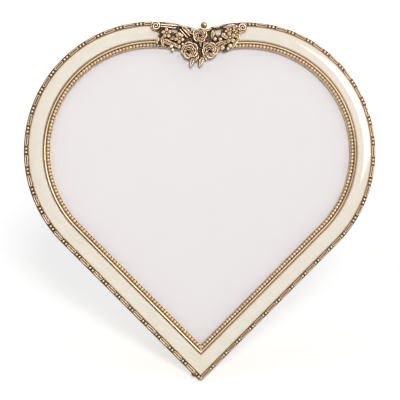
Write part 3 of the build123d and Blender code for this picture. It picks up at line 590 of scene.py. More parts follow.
def dome(
    shape, at, base, radius, rise, patina_top, foot_patina_and_shade=1.0,
    turns=14, rings=6, wide=1.0, long=1.0, dark_from=40.0,
):
    """Ball on a height, dark from an angle down with patina and painted shade round its foot, wider towards its
    lobe's centre or longer.
    """
    x, y = float(at[0]), float(at[1])
    angles = np.linspace(0, 2 * pi, turns, endpoint=False)
    polar = np.linspace(0, pi / 2, rings)
    p, a = np.meshgrid(polar[1:], angles, indexing="ij")
    inward = atan2(lobe_rise - y, LOBE_OFFSET - x)
    if y < lobe_rise - (LOBE_RADIUS - bead_inset) * sin(SIDE):
        inward = pi - SIDE
    u = radius * wide * np.sin(p) * np.cos(a)
    v = radius * long * np.sin(p) * np.sin(a)
    px = x + u * cos(inward) - v * sin(inward)
    py = y + u * sin(inward) + v * cos(inward)
    pz = base + rise * np.cos(p)
    points = np.stack([px, py, pz], -1).reshape(-1, 3)
    points = np.concatenate([[[x, y, base + rise]], points])
    faces = (grid_faces(rings - 1, turns, wrap_columns=True) + 1)[:, ::-1]
    # Patina and painted shade: darker from an angle down to the foot, where the ball meets its base and the next
    # ball.
    share = np.clip((np.degrees(p) - dark_from) / (90 - dark_from), 0, 1) ** DARKENING
    lower = patina_top + (foot_patina_and_shade - patina_top) * share
    top = shape.count
    shape.put(points, faces, np.concatenate([[patina_top], lower.ravel()]))
    shape.faces.extend([top, top + 1 + k, top + 1 + (k + 1) % turns] for k in range(turns))


BEAD_SHIFT = 0.04
BEAD_SWELL = 0.03
BEAD_WIDE = 1.12
BEAD_LONG = 1.13
BEAD_PATINA = 0.22
BEAD_VARIATION = 0.16
# Patina and painted shade at the beads' feet
BEAD_FOOT_PATINA_AND_SHADE = 0.9
BEAD_DARK_FROM = 58.0
CORNER_BEAD_SHIFT = 0.35
CORNER_BEAD_PATINA = 0.4

# The bevelled rail: how far past its foot or short of the sight edge, drop
rail_foot = sight_inset - BEAD_RAIL_WIDTH
rail_top = FLANGE_HEIGHT + BEAD_RAIL_HEIGHT
rail = [(rail_foot + past, rail_top - drop) for past, drop in ((0.03, 0.1), (0.07, 0.02))]
rail += [(sight_inset - short, rail_top - drop) for short, drop in ((0.04, 0.14), (0, 0.2))]
base = [(bead_strip_inset, FLANGE_HEIGHT), (bead_strip_inset, bead_base_top)]
base.append((rail_foot + BEAD_RAIL_CLEARANCE, bead_base_top))
beads = Shape()
strip(beads, base + rail + [(sight_inset, FLANGE_HEIGHT)], [1, 0.9, 0.9, 0.5, 0.15, 0.1, 0.25, 0.4])
bead_run = half_length(bead_inset)
bead_count = int(bead_run / BEAD_PITCH)
bead_pitch = bead_run / bead_count
for n in range(bead_count):
    dome(
        beads, edge(bead_inset, bead_pitch * (n + 0.5), bead_inset + BEAD_SHIFT), bead_base_top,
        BEAD_RADIUS + BEAD_SWELL, BEAD_RADIUS, BEAD_PATINA + BEAD_VARIATION * rng.random(),
        BEAD_FOOT_PATINA_AND_SHADE, wide=BEAD_WIDE, long=BEAD_LONG, dark_from=BEAD_DARK_FROM,
    )
dome(
    beads, (0.0, (bead_inset - CORNER_BEAD_SHIFT) / sin(SIDE)), bead_base_top,
    BEAD_RADIUS, BEAD_RADIUS, CORNER_BEAD_PATINA, BEAD_FOOT_PATINA_AND_SHADE, dark_from=BEAD_DARK_FROM,
)

# One link: how far in from its outline, height, patina, from its foot into the slot
LINK_LEVELS = (
    (0.0, 0.0, 1.0), (0.0, 0.3, 1.0), (0.03, 0.5, 0.8), (0.08, 0.66, 0.15), (0.15, 0.74, 0.0),
    (0.22, 0.74, 0.0), (0.28, 0.66, 0.15), (0.34, 0.56, 0.5), (0.4, 0.5, 0.75), (0.5, 0.48, 0.75),
)
LINK_POINTS = 44
LINK_SWELL = 0.04
RAIL_CORNER = 0.05
RAIL_ROUNDING = 0.06
RAIL_SIDE = 0.04
RAIL_PATINA = (1, 1, 0.97, 1, 1, 1, 1, 0.9, 0.65, 1)
KNOT_SWELL = 0.06
KNOT_RISE = LINK_BEAD_RADIUS + 0.05
KNOT_PATINA = 0.15
KNOT_DARK_FROM = 48.0
TIP_KNOT_RADIUS = 0.75
TIP_KNOT_RISE = 0.65
TIP_KNOT_PATINA = 0.35
END_BALL_RADIUS = 1.3
END_BALL_RISE = 1.05
END_BALL_SINK = 0.3
END_BALL_GAP = 0.2
END_BALL_SHIFT = 0.45
END_BALL_PATINA = 0.7
ROPE_PITCH = 0.95
ROPE_START = 0.6
ROPE_RADIUS = 0.2
ROPE_RISE = 0.22
ROPE_SEAT = 0.16
ROPE_PATINA = 0.25


def link(shape, distance):
    """Long oval with a slot, its rings running from the foot over the wire."""
    reach = (LINK_LENGTH - LINK_WIDTH) / 2
    a = np.linspace(0, 2 * pi, LINK_POINTS, endpoint=False)
    rings, tones = [], []
    for inward, height, tone in LINK_LEVELS:
        r = LINK_WIDTH / 2 + LINK_SWELL - inward
        u = r * np.cos(a) + np.where(np.cos(a) >= 0, reach, -reach)
        x, y = edge(link_inset, distance + u, link_inset + r * np.sin(a))
        rings.append(np.stack([x, y, np.full(LINK_POINTS, link_base_top + height)], -1))
        tones += [tone] * LINK_POINTS
    quads = grid_faces(len(LINK_LEVELS), LINK_POINTS, wrap_columns=True)[:, ::-1]
    shape.put(np.concatenate(rings), quads, tones)
    shape.faces.append([shape.count - 1 - k for k in range(LINK_POINTS)])


def chain(start):
    """Link border of one half, its first link at a distance from the tip."""
    shape = Shape()
    outer = EDGE_CHAMFER
    inner = SHELF_WIDTH - LINK_MARGIN
    low = link_base_top + LINK_RAIL_HEIGHT / 2
    high = link_base_top + LINK_RAIL_HEIGHT
    profile = [
        (outer, SHELF_HEIGHT),
        (outer, low - RAIL_CORNER),
        (outer + RAIL_ROUNDING, low),
        (outer + LINK_RAIL_WIDTH - RAIL_CORNER, low),
        (outer + LINK_RAIL_WIDTH, link_base_top),
        (inner - LINK_RAIL_WIDTH, link_base_top),
        (inner - LINK_RAIL_WIDTH + RAIL_SIDE, high - RAIL_ROUNDING),
        (inner - LINK_RAIL_WIDTH / 2, high),
        (inner - RAIL_SIDE, high - RAIL_ROUNDING),
        (inner, SHELF_HEIGHT),
    ]
    strip(shape, profile, RAIL_PATINA)
    distances = [start]
    while distances[-1] < half_length(link_inset):
        on_side = distances[-1] < side_length(link_inset)
        distances.append(distances[-1] + (LINK_PITCH_SIDE if on_side else LINK_PITCH_LOBE))
    gaps = [start - LINK_PITCH_SIDE / 2]
    gaps += [(a + b) / 2 for a, b in zip(distances, distances[1:])]
    for distance in distances:
        link(shape, distance)
    tip = edge(link_inset, 0.0, link_inset)
    dome(shape, tip, link_base_top, TIP_KNOT_RADIUS, TIP_KNOT_RISE, TIP_KNOT_PATINA)
    if start > LINK_LENGTH:
        # The wire ends in a ball where the first link starts far up the side
        end = edge(
            link_inset, start - LINK_LENGTH / 2 - END_BALL_GAP, link_inset - END_BALL_SHIFT
        )
        seat = link_base_top - END_BALL_SINK
        dome(shape, end, seat, END_BALL_RADIUS, END_BALL_RISE, END_BALL_PATINA)
    for gap in gaps:
        for step in (-LINK_BEAD_GAP / 2, LINK_BEAD_GAP / 2):
            if gap + step > LINK_BEAD_RADIUS:
                dome(
                    shape, edge(link_inset, gap + step, link_inset), link_base_top,
                    LINK_BEAD_RADIUS + KNOT_SWELL, KNOT_RISE, KNOT_PATINA,
                    dark_from=KNOT_DARK_FROM,
                )
    # Rope of small turns along the inner rail
    for distance in np.arange(ROPE_START, half_length(inner), ROPE_PITCH):
        dome(
            shape, edge(inner, distance, inner - ROPE_SEAT), high - ROPE_SEAT,
            ROPE_RADIUS, ROPE_RISE, ROPE_PATINA, turns=8, rings=4,
        )
    return shape


for name, side, start in (("right", 1, LINK_START_RIGHT), ("left", -1, LINK_START_LEFT)):
    obj = beads.build("bead_row_" + name, beading, side=side)
    cut_off(obj, (0, 0, 0), (-side, 0, 0), closed=False)
    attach(obj, "frame")
    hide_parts("bead_strip_" + name)
    obj = chain(start).build("link_chain_" + name, wire, side=side)
    cut_off(obj, (0, 0, 0), (-side, 0, 0), closed=False)
    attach(obj, "frame")
    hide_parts("link_border_" + name)

# --- Crest: one casting in relief, worked out as a height over the frame's plane.
# Places are shares of its half width and of its height, as in its source, and
# radii, lengths and widths are shares of the half width.
CREST_HALF_WIDTH = 20.6
CREST_HEIGHT = 19.0
CREST_DROP = 3.2
CREST_UNDERSIDE = 5.0
CREST_TOP = 8.3
CREST_SEAT_GAP = 0.05
WEB_TOP = 7.6
LIP_ROUNDING = 0.28
LIP_FALL = 0.4
SKIN_LUMPS = 0.075
SKIN_WAVES = ((5.1, 1.3, 0), (-2.2, 4.3, 0))
FINE_WAVES = ((9.1, -3.1, 1), (2.7, 8.3, 0))
FINE_SHARE = 0.7
WEB_INSET = 0.25
WEB_LUMPS = 0.18
WEB_WAVES = ((2.3, 1.1, 0), (-0.8, 2.9, 0))
LEAST_THICKNESS = 0.12
CELL = 0.11
# Limits as border points move out onto the true outline
LEAST_STEEP = 0.5
MOST_STEP = 1.2 * CELL
# Margin of the grid as a share of the crest's size, and values beyond any in it
GRID_REACH = 1.08
GRID_BELOW = 1
FAR = 9.0
# Rings of a rose: share of its radius, petals, rise
ROSE_RINGS = ((1.0, 5, 0.34), (0.77, 5, 0.46), (0.55, 4, 0.58), (0.35, 3, 0.68), (0.17, 2, 0.74))
ROSE_TWIST = 41
PETAL_OVERLAP = 1.28
PETAL_ROUNDING = 0.2
PETAL_SIDE = 0.7
PETAL_CUP = 0.6
PETAL_TILT = 0.07
# Blossom: petals, and their places and sizes as shares of its radius
BLOSSOM_PETALS = 5
BLOSSOM_REACH = 0.56
BLOSSOM_LENGTH = 0.52
BLOSSOM_WIDTH = 0.40
BLOSSOM_EDGE = 0.42
BLOSSOM_CUP = 0.5
BLOSSOM_SINK = 0.1
BLOSSOM_KNOB = 0.2
BLOSSOM_KNOB_LIFT = 0.35
CREASE_DEPTH = 0.16
CREASE_WIDTH = 0.13
# Leaf and bar
LEAF_LIFT = 0.35
LEAF_ARCH = 0.35
LEAF_FALL = 0.4
LEAF_FULLNESS = 0.6
LEAF_TAPER = 0.3
LEAST_HALF = 0.01
VEIN_HEIGHT = 0.09
VEIN_SLANT = 1.1
VEIN_PITCH = 0.8
GROOVE_DEPTH = 0.3
GROOVE_SPREAD = 0.14
BAR_LIFT = 0.35
# Scroll: start and growth of its curl, and the curl's width, as shares of its radius
SCROLL_START = 0.12
SCROLL_GROWTH = 0.42
SCROLL_WIDTH = 0.2
SCROLL_LIFT = 0.1
SCROLL_RISE = 1.1
# Patina of the crest: middle tone, and how much hollows, slopes and depth add
CREST_PATINA = 0.46
HOLLOW_PATINA = 1.9
SLOPE_PATINA = 0.10
SLOPE_FROM = 0.8
DEPTH_PATINA = 0.55
SOFTENINGS = 14
SMOOTH_TO = radians(50)

crest_foot = lobe_rise + sqrt((LOBE_RADIUS - sight_inset) ** 2 - LOBE_OFFSET ** 2) - CREST_DROP
outline_shares = [
    (-1.01, 0.8), (-1.04, 0.86), (-1.01, 0.96), (-0.92, 1.0), (-0.84, 0.965), (-0.66, 0.955),
    (-0.48, 0.91), (-0.3, 0.855), (-0.18, 0.82), (-0.02, 0.805), (0.17, 0.845), (0.32, 0.875),
    (0.49, 0.925), (0.67, 0.95), (0.8, 0.985), (0.88, 0.985), (0.93, 0.88), (0.91, 0.785),
    (0.8, 0.72), (0.78, 0.57), (0.74, 0.48), (0.64, 0.4), (0.48, 0.3), (0.41, 0.345),
    (0.32, 0.315), (0.23, 0.22), (0.11, 0.14), (0.0, 0.11), (-0.08, 0.12), (-0.18, 0.11),
    (-0.27, 0.14), (-0.375, 0.28), (-0.42, 0.355), (-0.6, 0.37), (-0.8, 0.465), (-0.93, 0.515),
    (-0.95, 0.59), (-0.88, 0.72),
]
# x, y, radius, spin, and how far the heart of the rose is off its middle
rose_shares = [
    (-0.24, 0.342, 0.178, 35, (-0.25, -0.4)), (-0.035, 0.679, 0.155, 10, (0.05, -0.1)),
    (0.172, 0.346, 0.168, 60, (0.05, -0.3)),
]
blossom_shares = [
    (-0.72, 0.72, 0.115, 20), (-0.457, 0.604, 0.115, 50), (0.589, 0.627, 0.13, 30),
    (0.71, 0.82, 0.085, 0), (0.56, 0.775, 0.085, 40), (0.7, 0.69, 0.08, 10),
]
scroll_shares = [(-0.942, 0.877, 0.102, 200), (0.848, 0.854, 0.095, 300)]
berry_shares = [
    (-0.62, 0.43, 0.045), (-0.46, 0.42, 0.045), (-0.595, 0.355, 0.03), (0.436, 0.411, 0.055),
    (0.591, 0.45, 0.05), (0.39, 0.59, 0.045), (0.28, 0.595, 0.045), (0.55, 0.39, 0.035),
    (-0.385, 0.47, 0.035), (-0.461, 0.68, 0.06), (0.461, 0.68, 0.06),
]
# x, y, length, width, turn in degrees
leaf_shares = [
    (-0.19, 0.095, 0.24, 0.1, 72), (-0.005, 0.09, 0.22, 0.1, 68), (-0.09, 0.17, 0.16, 0.07, 60),
    (0.07, 0.2, 0.16, 0.07, 120), (-0.67, 0.51, 0.28, 0.11, 155), (-0.53, 0.45, 0.2, 0.08, 150),
    (-0.8, 0.53, 0.22, 0.09, 100), (-0.9, 0.56, 0.16, 0.07, 80), (-0.27, 0.76, 0.24, 0.08, 150),
    (-0.16, 0.79, 0.14, 0.06, 170), (-0.37, 0.865, 0.2, 0.06, 160), (-0.6, 0.6, 0.16, 0.07, 30),
    (0.23, 0.69, 0.2, 0.09, 80), (0.12, 0.8, 0.2, 0.07, 15), (0.33, 0.875, 0.22, 0.05, 10),
    (0.58, 0.88, 0.28, 0.07, 12), (0.38, 0.5, 0.24, 0.09, 20), (0.34, 0.41, 0.22, 0.08, 40),
    (0.32, 0.355, 0.18, 0.06, 30), (0.5, 0.52, 0.22, 0.09, 35), (0.69, 0.5, 0.22, 0.09, 60),
    (0.76, 0.63, 0.2, 0.08, 85), (0.8, 0.75, 0.14, 0.06, 30), (-0.02, 0.5, 0.18, 0.06, 95),
    (0.06, 0.48, 0.16, 0.06, 80),
]
# From x, y to x, y, and width
bar_shares = [
    (-0.84, 0.91, -0.51, 0.885, 0.034), (-0.84, 0.868, -0.53, 0.832, 0.034),
    (-0.44, 0.8, -0.29, 0.62, 0.034), (-0.39, 0.83, -0.24, 0.66, 0.03),
]
opening_shares = [(-0.555, 0.776, 0.145, 0.072, -12), (0.352, 0.775, 0.175, 0.125, 85)]


def lumps(x, y, *waves):
    """Product of waves: turns across and up, and phase of each."""
    return np.prod([np.sin(a * x + b * y + phase) for a, b, phase in waves], 0)


def spot(x, y):
    return x * CREST_HALF_WIDTH, crest_foot + y * CREST_HEIGHT


class Relief:
    """Height of a casting on a grid, and how far inside its outline a point is."""

    def __init__(self):
        reach = GRID_REACH * CREST_HALF_WIDTH
        x = np.arange(-reach, reach, CELL)
        y = np.arange(crest_foot - GRID_BELOW, crest_foot + GRID_REACH * CREST_HEIGHT, CELL)
        self.x, self.y = np.meshgrid(x, y, indexing="ij")
        self.height = np.full(self.x.shape, WEB_TOP)
        self.inside = np.full(self.x.shape, -FAR)

    def local(self, x, y, turn=0.0):
        """Coordinates about a spot, turned by an angle in degrees."""
        x, y = spot(x, y)
        c, s = cos(radians(turn)), sin(radians(turn))
        dx, dy = self.x - x, self.y - y
        return dx * c + dy * s, dy * c - dx * s

    def lay(self, height, inside):
        """Lays a form with a rounded lip over the others: the higher one shows."""
        lip = 1 - np.clip(inside / LIP_ROUNDING, 0, 1)
        height = np.where(inside > 0, height - LIP_FALL * lip ** 2, 0)
        self.height = np.maximum(self.height, height)
        self.inside = np.maximum(self.inside, inside)

    def web(self):
        """Thin ground between the flowers, with its openings."""
        corners = np.array([spot(x, y) for x, y in outline_shares])
        nearest = np.full(self.x.shape, FAR)
        inside = np.zeros(self.x.shape, bool)
        for (ax, ay), (bx, by) in zip(corners, np.roll(corners, -1, 0)):
            ux, uy = bx - ax, by - ay
            share = ((self.x - ax) * ux + (self.y - ay) * uy) / (ux ** 2 + uy ** 2)
            share = np.clip(share, 0, 1)
            away = np.hypot(self.x - ax - share * ux, self.y - ay - share * uy)
            nearest = np.minimum(nearest, away)
            crosses = (ay > self.y) != (by > self.y)
            rise = by - ay if by != ay else 1.0
            inside ^= crosses & (self.x < ax + (self.y - ay) / rise * ux)
        depth = np.where(inside, nearest, -nearest) - WEB_INSET
        for x, y, length, width, turn in opening_shares:
            u, v = self.local(x, y, turn)
            length, half = length * CREST_HALF_WIDTH, width * CREST_HALF_WIDTH / 2
            u = np.maximum(np.abs(u) - length / 2 + half, 0)
            depth = np.minimum(depth, np.hypot(u, v) - half)
        self.height += np.abs(WEB_LUMPS * lumps(self.x, self.y, *WEB_WAVES))
        self.inside = np.maximum(self.inside, depth)

    def rose(self, x, y, radius, spin, heart_off):
        """Rings of overlapping petals, each ring higher and smaller."""
        radius *= CREST_HALF_WIDTH
        for k, (share, petals, rise) in enumerate(ROSE_RINGS):
            u, v = self.local(x, y)
            u -= heart_off[0] * radius * (1 - share)
            v -= heart_off[1] * radius * (1 - share)
            r, angle = np.hypot(u, v), np.arctan2(v, u)
            for n in range(petals):
                off = angle - radians(spin + ROSE_TWIST * k + 360 * n / petals)
                off = (off + pi) % (2 * pi) - pi
                span = PETAL_OVERLAP * pi / petals
                lip = radius * share * (1 - PETAL_ROUNDING * (off / span) ** 2)
                sides = (span - np.abs(off)) * radius * share * PETAL_SIDE
                cup = PETAL_CUP * (1 - np.clip(r / lip, 0, 1))
                height = CREST_TOP + radius * (rise - cup - PETAL_TILT * off / span)
                self.lay(height, np.minimum(lip - r, sides))

    def blossom(self, x, y, radius, spin):
        """Five cupped petals round a small knob."""
        radius *= CREST_HALF_WIDTH
        for n in range(BLOSSOM_PETALS):
            a = radians(spin + 360 * n / BLOSSOM_PETALS)
            u, v = self.local(x, y)
            u, v = u * cos(a) + v * sin(a) - BLOSSOM_REACH * radius, v * cos(a) - u * sin(a)
            away = np.hypot(u / BLOSSOM_LENGTH, v / BLOSSOM_WIDTH) / radius
            cup = BLOSSOM_CUP * radius * np.sqrt(np.clip(1 - away ** 2, 0, 1))
            crease = CREASE_DEPTH * np.exp(-((v / CREASE_WIDTH) ** 2))
            self.lay(CREST_TOP - BLOSSOM_SINK + cup - crease, (1 - away) * BLOSSOM_EDGE * radius)
        knob = BLOSSOM_KNOB * radius / CREST_HALF_WIDTH
        self.berry(x, y, knob, BLOSSOM_KNOB_LIFT * radius)

    def berry(self, x, y, radius, lift=0.0):
        radius *= CREST_HALF_WIDTH
        u, v = self.local(x, y)
        away = np.hypot(u, v)
        height = CREST_TOP + lift + np.sqrt(np.clip(radius ** 2 - away ** 2, 0, None))
        self.lay(height, radius - away)

    def leaf(self, x, y, length, width, turn):
        """Folded leaf with a mid vein and slanting side veins."""
        length, width = length * CREST_HALF_WIDTH, width * CREST_HALF_WIDTH
        u, v = self.local(x, y, turn)
        s = np.clip(2 * u / length, -1, 1)
        half = width / 2 * (1 - s ** 2) ** LEAF_FULLNESS * (1 + LEAF_TAPER * s)
        inside = np.where(np.abs(2 * u / length) < 1, half - np.abs(v), -np.hypot(u, v))
        share = np.clip(np.abs(v) / np.maximum(half, LEAST_HALF), 0, 1)
        veins = VEIN_HEIGHT * np.cos(2 * pi * (u - VEIN_SLANT * np.abs(v)) / VEIN_PITCH)
        groove = GROOVE_DEPTH * np.exp(-((v / GROOVE_SPREAD) ** 2))
        arch = LEAF_ARCH * (1 - s ** 2) - LEAF_FALL * share ** 2
        self.lay(CREST_TOP + LEAF_LIFT + arch + veins - groove, inside)

    def bar(self, x1, y1, x2, y2, width):
        (ax, ay), (bx, by) = spot(x1, y1), spot(x2, y2)
        half = width * CREST_HALF_WIDTH / 2
        u, v = self.local((x1 + x2) / 2, (y1 + y2) / 2, degrees(atan2(by - ay, bx - ax)))
        over = np.maximum(np.abs(u) - hypot(bx - ax, by - ay) / 2, 0)
        away = np.hypot(over, v)
        round_top = np.sqrt(np.clip(half ** 2 - away ** 2, 0, None))
        self.lay(CREST_TOP + BAR_LIFT + round_top, half - away)

    def scroll(self, x, y, radius, spin):
        """Rosette with one rounded curl."""
        radius *= CREST_HALF_WIDTH
        u, v = self.local(x, y)
        r, angle = np.hypot(u, v), np.arctan2(v, u)
        turn = ((angle - radians(spin)) % (2 * pi)) / (2 * pi)
        ridge = np.zeros(r.shape)
        for whole in (0, 1):
            middle = radius * (SCROLL_START + SCROLL_GROWTH * (turn + whole))
            ridge = np.maximum(ridge, 1 - ((r - middle) / (SCROLL_WIDTH * radius)) ** 2)
        curl = SCROLL_RISE * np.sqrt(np.clip(ridge, 0, 1))
        self.lay(CREST_TOP + SCROLL_LIFT + curl, radius - r)

    def underside(self):
        """Lowest height that clears the border, enamel, rim and beads below."""
        inset = LOBE_RADIUS - np.hypot(np.abs(self.x) - LOBE_OFFSET, self.y - lobe_rise)
        link = link_base_top + LINK_HEIGHT
        under = np.where(inset < rim_inset, link, FLANGE_HEIGHT + RIM_HEIGHT)
        under = np.where(inset > bead_strip_inset, bead_base_top + BEAD_RADIUS, under)
        off = np.clip(inset - enamel_middle, -half_band, half_band)
        crown = enamel_top - crown_radius + np.sqrt(crown_radius ** 2 - off ** 2)
        under = np.where(np.abs(inset - enamel_middle) < half_band, crown, under)
        under += CREST_SEAT_GAP
        return np.where(inset > sight_inset + CREST_SEAT_GAP, CREST_UNDERSIDE, under)

    def build(self, name, material):
        """Closed mesh, its border moved out onto the true outline."""
        keep = self.inside > 0
        cells = keep[:-1, :-1] & keep[1:, :-1] & keep[1:, 1:] & keep[:-1, 1:]
        used = np.zeros(keep.shape, bool)
        touched = np.zeros(keep.shape, int)
        for a, b in ((0, 0), (1, 0), (1, 1), (0, 1)):
            part = (slice(a, keep.shape[0] - 1 + a), slice(b, keep.shape[1] - 1 + b))
            used[part] |= cells
            touched[part] += cells
        border = used & (touched < 4)
        gx, gy = np.gradient(self.inside, CELL)
        steep = np.maximum(np.hypot(gx, gy), LEAST_STEEP)
        step = np.where(border, np.clip(self.inside / steep, 0, MOST_STEP), 0) / steep
        x, y = self.x - gx * step, self.y - gy * step
        low = self.underside()
        # The casting's skin, a little lumpy as after a wax model
        skin = lumps(self.x, self.y, *SKIN_WAVES)
        skin += FINE_SHARE * lumps(self.x, self.y, *FINE_WAVES)
        self.height += SKIN_LUMPS * skin
        edge_fall = np.clip(1 - self.inside / LIP_ROUNDING, 0, 1) ** 2
        high = np.maximum(self.height - LIP_FALL * edge_fall, low + LEAST_THICKNESS)
        soft = high.copy()
        for _ in range(SOFTENINGS):
            beside = soft[2:, 1:-1] + soft[:-2, 1:-1] + soft[1:-1, 2:] + soft[1:-1, :-2]
            soft[1:-1, 1:-1] = (soft[1:-1, 1:-1] + beside) / 5
        sx, sy = np.gradient(high, CELL)
        tone = CREST_PATINA + HOLLOW_PATINA * (soft - high)
        tone += SLOPE_PATINA * np.clip(np.hypot(sx, sy) - SLOPE_FROM, 0, 2)
        tone = np.clip(tone + DEPTH_PATINA * np.clip(CREST_TOP - high, 0, 1), 0, 1)

        number = np.full(keep.shape, -1)
        count = int(used.sum())
        number[used] = np.arange(count)
        top = np.stack([x[used], y[used], high[used]], 1)
        bottom = np.stack([x[used], y[used], low[used]], 1)
        i, j = np.nonzero(cells)
        corners = ((i, j), (i + 1, j), (i + 1, j + 1), (i, j + 1))
        quads = np.stack([number[corner] for corner in corners], 1)
        edges = dict.fromkeys((q[k], q[(k + 1) % 4]) for q in quads.tolist() for k in range(4))
        walls = [[b, a, a + count, b + count] for a, b in edges if (b, a) not in edges]
        shape = Shape()
        tones = np.concatenate([tone[used], np.ones(count)])
        shape.put(np.concatenate([top, bottom]), quads, tones)
        shape.faces.extend((quads[:, ::-1] + count).tolist() + walls)
        obj = shape.build(name, material)
        obj.data.set_sharp_from_angle(angle=SMOOTH_TO)
        return obj


crest = Relief()
crest.web()
for form, entries in (
    (crest.scroll, scroll_shares),
    (crest.leaf, leaf_shares),
    (crest.bar, bar_shares),
    (crest.blossom, blossom_shares),
    (crest.berry, berry_shares),
    (crest.rose, rose_shares),
):
    for entry in entries:
        form(*entry)
crest_obj = crest.build("crest_relief", crest_metal)
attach(crest_obj, "frame")
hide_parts("crest_garland")


# --- Knob: turned on the axis of its stem
TONGUE_RISE = 1.2
BACK_GAP = 0.1
BACK_THICKNESS = 1.0
BLOCK_THICKNESS = 2.4
KNOB_SHIFT = 1.9
KNOB_RADIUS = 1.5
KNOB_NECK_RADIUS = 0.8
COLLAR_RADIUS = 1.3
COLLAR_HEIGHT = 0.5
STEM_RADIUS = 0.75
STEM_LENGTH = 4.0
# The collar's foot, upper edge and flat top, and how near the axis the lathe goes
COLLAR_FOOT = 0.08
COLLAR_SHOULDER = 0.16
COLLAR_ROUNDING = (0.06, 0.05)
NECK_FILLET = 0.1
NEAR_AXIS = 0.001
BALL_RINGS = 30
LATHE_TURNS = 64
LATHE_SMOOTH_TO = radians(40)


def turn(name, centre, profile, material):
    """Lathe about an upright axis of the frame's plane; profile (radius, rise)."""
    profile = np.asarray(profile, float)
    angles = np.linspace(0, 2 * pi, LATHE_TURNS, endpoint=False)
    r, a = np.meshgrid(profile[:, 0], angles, indexing="ij")
    rise = np.broadcast_to(profile[:, 1:], r.shape)
    points = np.stack(
        [centre[0] + r * np.cos(a), centre[1] + rise, centre[2] - r * np.sin(a)], -1
    )
    shape = Shape()
    faces = grid_faces(len(profile), LATHE_TURNS, wrap_columns=True)[:, ::-1]
    shape.put(points.reshape(-1, 3), faces)
    obj = shape.build(name, material)
    obj.data.set_sharp_from_angle(angle=LATHE_SMOOTH_TO)
    return obj


ball_rise = COLLAR_HEIGHT + sqrt(KNOB_RADIUS ** 2 - KNOB_NECK_RADIUS ** 2)
neck = -acos(KNOB_NECK_RADIUS / KNOB_RADIUS)
knob_profile = [
    (NEAR_AXIS, -STEM_LENGTH),
    (STEM_RADIUS, -STEM_LENGTH),
    (STEM_RADIUS, 0.0),
    (COLLAR_RADIUS - COLLAR_FOOT, 0.0),
    (COLLAR_RADIUS, COLLAR_FOOT),
    (COLLAR_RADIUS, COLLAR_HEIGHT - COLLAR_SHOULDER),
    (COLLAR_RADIUS - COLLAR_ROUNDING[0], COLLAR_HEIGHT - COLLAR_ROUNDING[1]),
    (COLLAR_RADIUS - COLLAR_SHOULDER, COLLAR_HEIGHT),
    (KNOB_NECK_RADIUS + NECK_FILLET, COLLAR_HEIGHT),
]
knob_profile += [
    (max(KNOB_RADIUS * cos(t), NEAR_AXIS), ball_rise + KNOB_RADIUS * sin(t))
    for t in np.linspace(neck, pi / 2, BALL_RINGS)
]
tongue_top = lobe_rise + sqrt(LOBE_RADIUS ** 2 - LOBE_OFFSET ** 2) + TONGUE_RISE
stem_foot = (KNOB_SHIFT, tongue_top, -BACK_GAP - BACK_THICKNESS - BLOCK_THICKNESS / 2)
knob = turn("ball_knob", stem_foot, knob_profile, turned)
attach(knob, "back")
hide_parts("pull_knob")


# --- Glass and card: flat hearts
PLATE_STATIONS = (40, 120)


def flat_heart(name, inset, low, high, material):
    """Plate of the heart's shape, each half a fan about its lobe centre."""
    x, y = ring_line(stations(*PLATE_STATIONS), inset)
    count = len(x)
    fan = np.array([[0, k + 1, (k + 1) % count + 1] for k in range(count)])
    shape = Shape()
    for side in (1, -1):
        rims = [np.stack([side * x, y, np.full(count, height)], 1) for height in (low, high)]
        for rim, flip in zip(rims[::-1], (side, -side)):
            centre = [[side * LOBE_OFFSET, lobe_rise, rim[0, 2]]]
            shape.put(np.concatenate([centre, rim]), fan[:, ::flip])
        shape.put(np.concatenate(rims), grid_faces(2, count)[:, ::side])
    return shape.build(name, material, smooth=False)


PANE_CLEARANCE = 0.3
PANE_THICKNESS = 2.0
INSERT_THICKNESS = 0.4
FILM = 0.02
pane_inset = pocket_inset + PANE_CLEARANCE
pane_rear = POCKET_DEPTH - PANE_THICKNESS
pane = flat_heart("clear_pane", pane_inset, pane_rear + FILM, POCKET_DEPTH, glass)
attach(pane, "frame")
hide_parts("glass_pane")
card = flat_heart("bare_insert", pane_inset, pane_rear - INSERT_THICKNESS, pane_rear - FILM, paper)
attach(card, "frame")
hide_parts("photo_insert")

# --- Camera, square to the leaning face but a little to its left
AZIMUTH = radians(-4.5)
ELEVATION = radians(10.0)
ROLL = radians(0.95)
VIEW_DISTANCE = 1.0
VIEW_WIDTH = 0.1696
AIM = (0.0, 77.3, 7.0)
SENSOR = 36.0
# Shift in pixels of a picture this wide
SHIFT = (-1.1, -0.7)
PICTURE_WIDTH = 400

aim = Vector(place([AIM])[0])


def aimed(name, data, direction, distance, roll=0.0):
    """Adds what looks at the frame from a direction."""
    obj = add(name, data)
    direction = Vector(direction).normalized()
    obj.location = aim + direction * distance
    obj.rotation_mode = "QUATERNION"
    upright = (-direction).to_track_quat("-Z", "Y")
    obj.rotation_quaternion = Quaternion(direction, roll) @ upright
    return obj


away = (sin(AZIMUTH) * cos(ELEVATION), -cos(AZIMUTH) * cos(ELEVATION), sin(ELEVATION))
cam_data = bpy.data.cameras.new("camera")
scene.camera = aimed("camera", cam_data, away, VIEW_DISTANCE, ROLL)
cam_data.sensor_width = SENSOR
cam_data.lens = SENSOR * VIEW_DISTANCE / VIEW_WIDTH
cam_data.shift_x = SHIFT[0] / PICTURE_WIDTH
cam_data.shift_y = SHIFT[1] / PICTURE_WIDTH
cam_data.clip_start = 0.05
cam_data.clip_end = 20.0


# --- Studio: a pale floor that runs up into a backdrop, and three soft lights
def soft_light(name, direction, distance, size, power):
    """Rectangular lamp that faces the frame from the given direction."""
    data = bpy.data.lights.new(name, "AREA")
    data.shape = "RECTANGLE"
    data.size, data.size_y = size
    data.energy = power
    lamp = aimed(name, data, direction, distance)
    return lamp


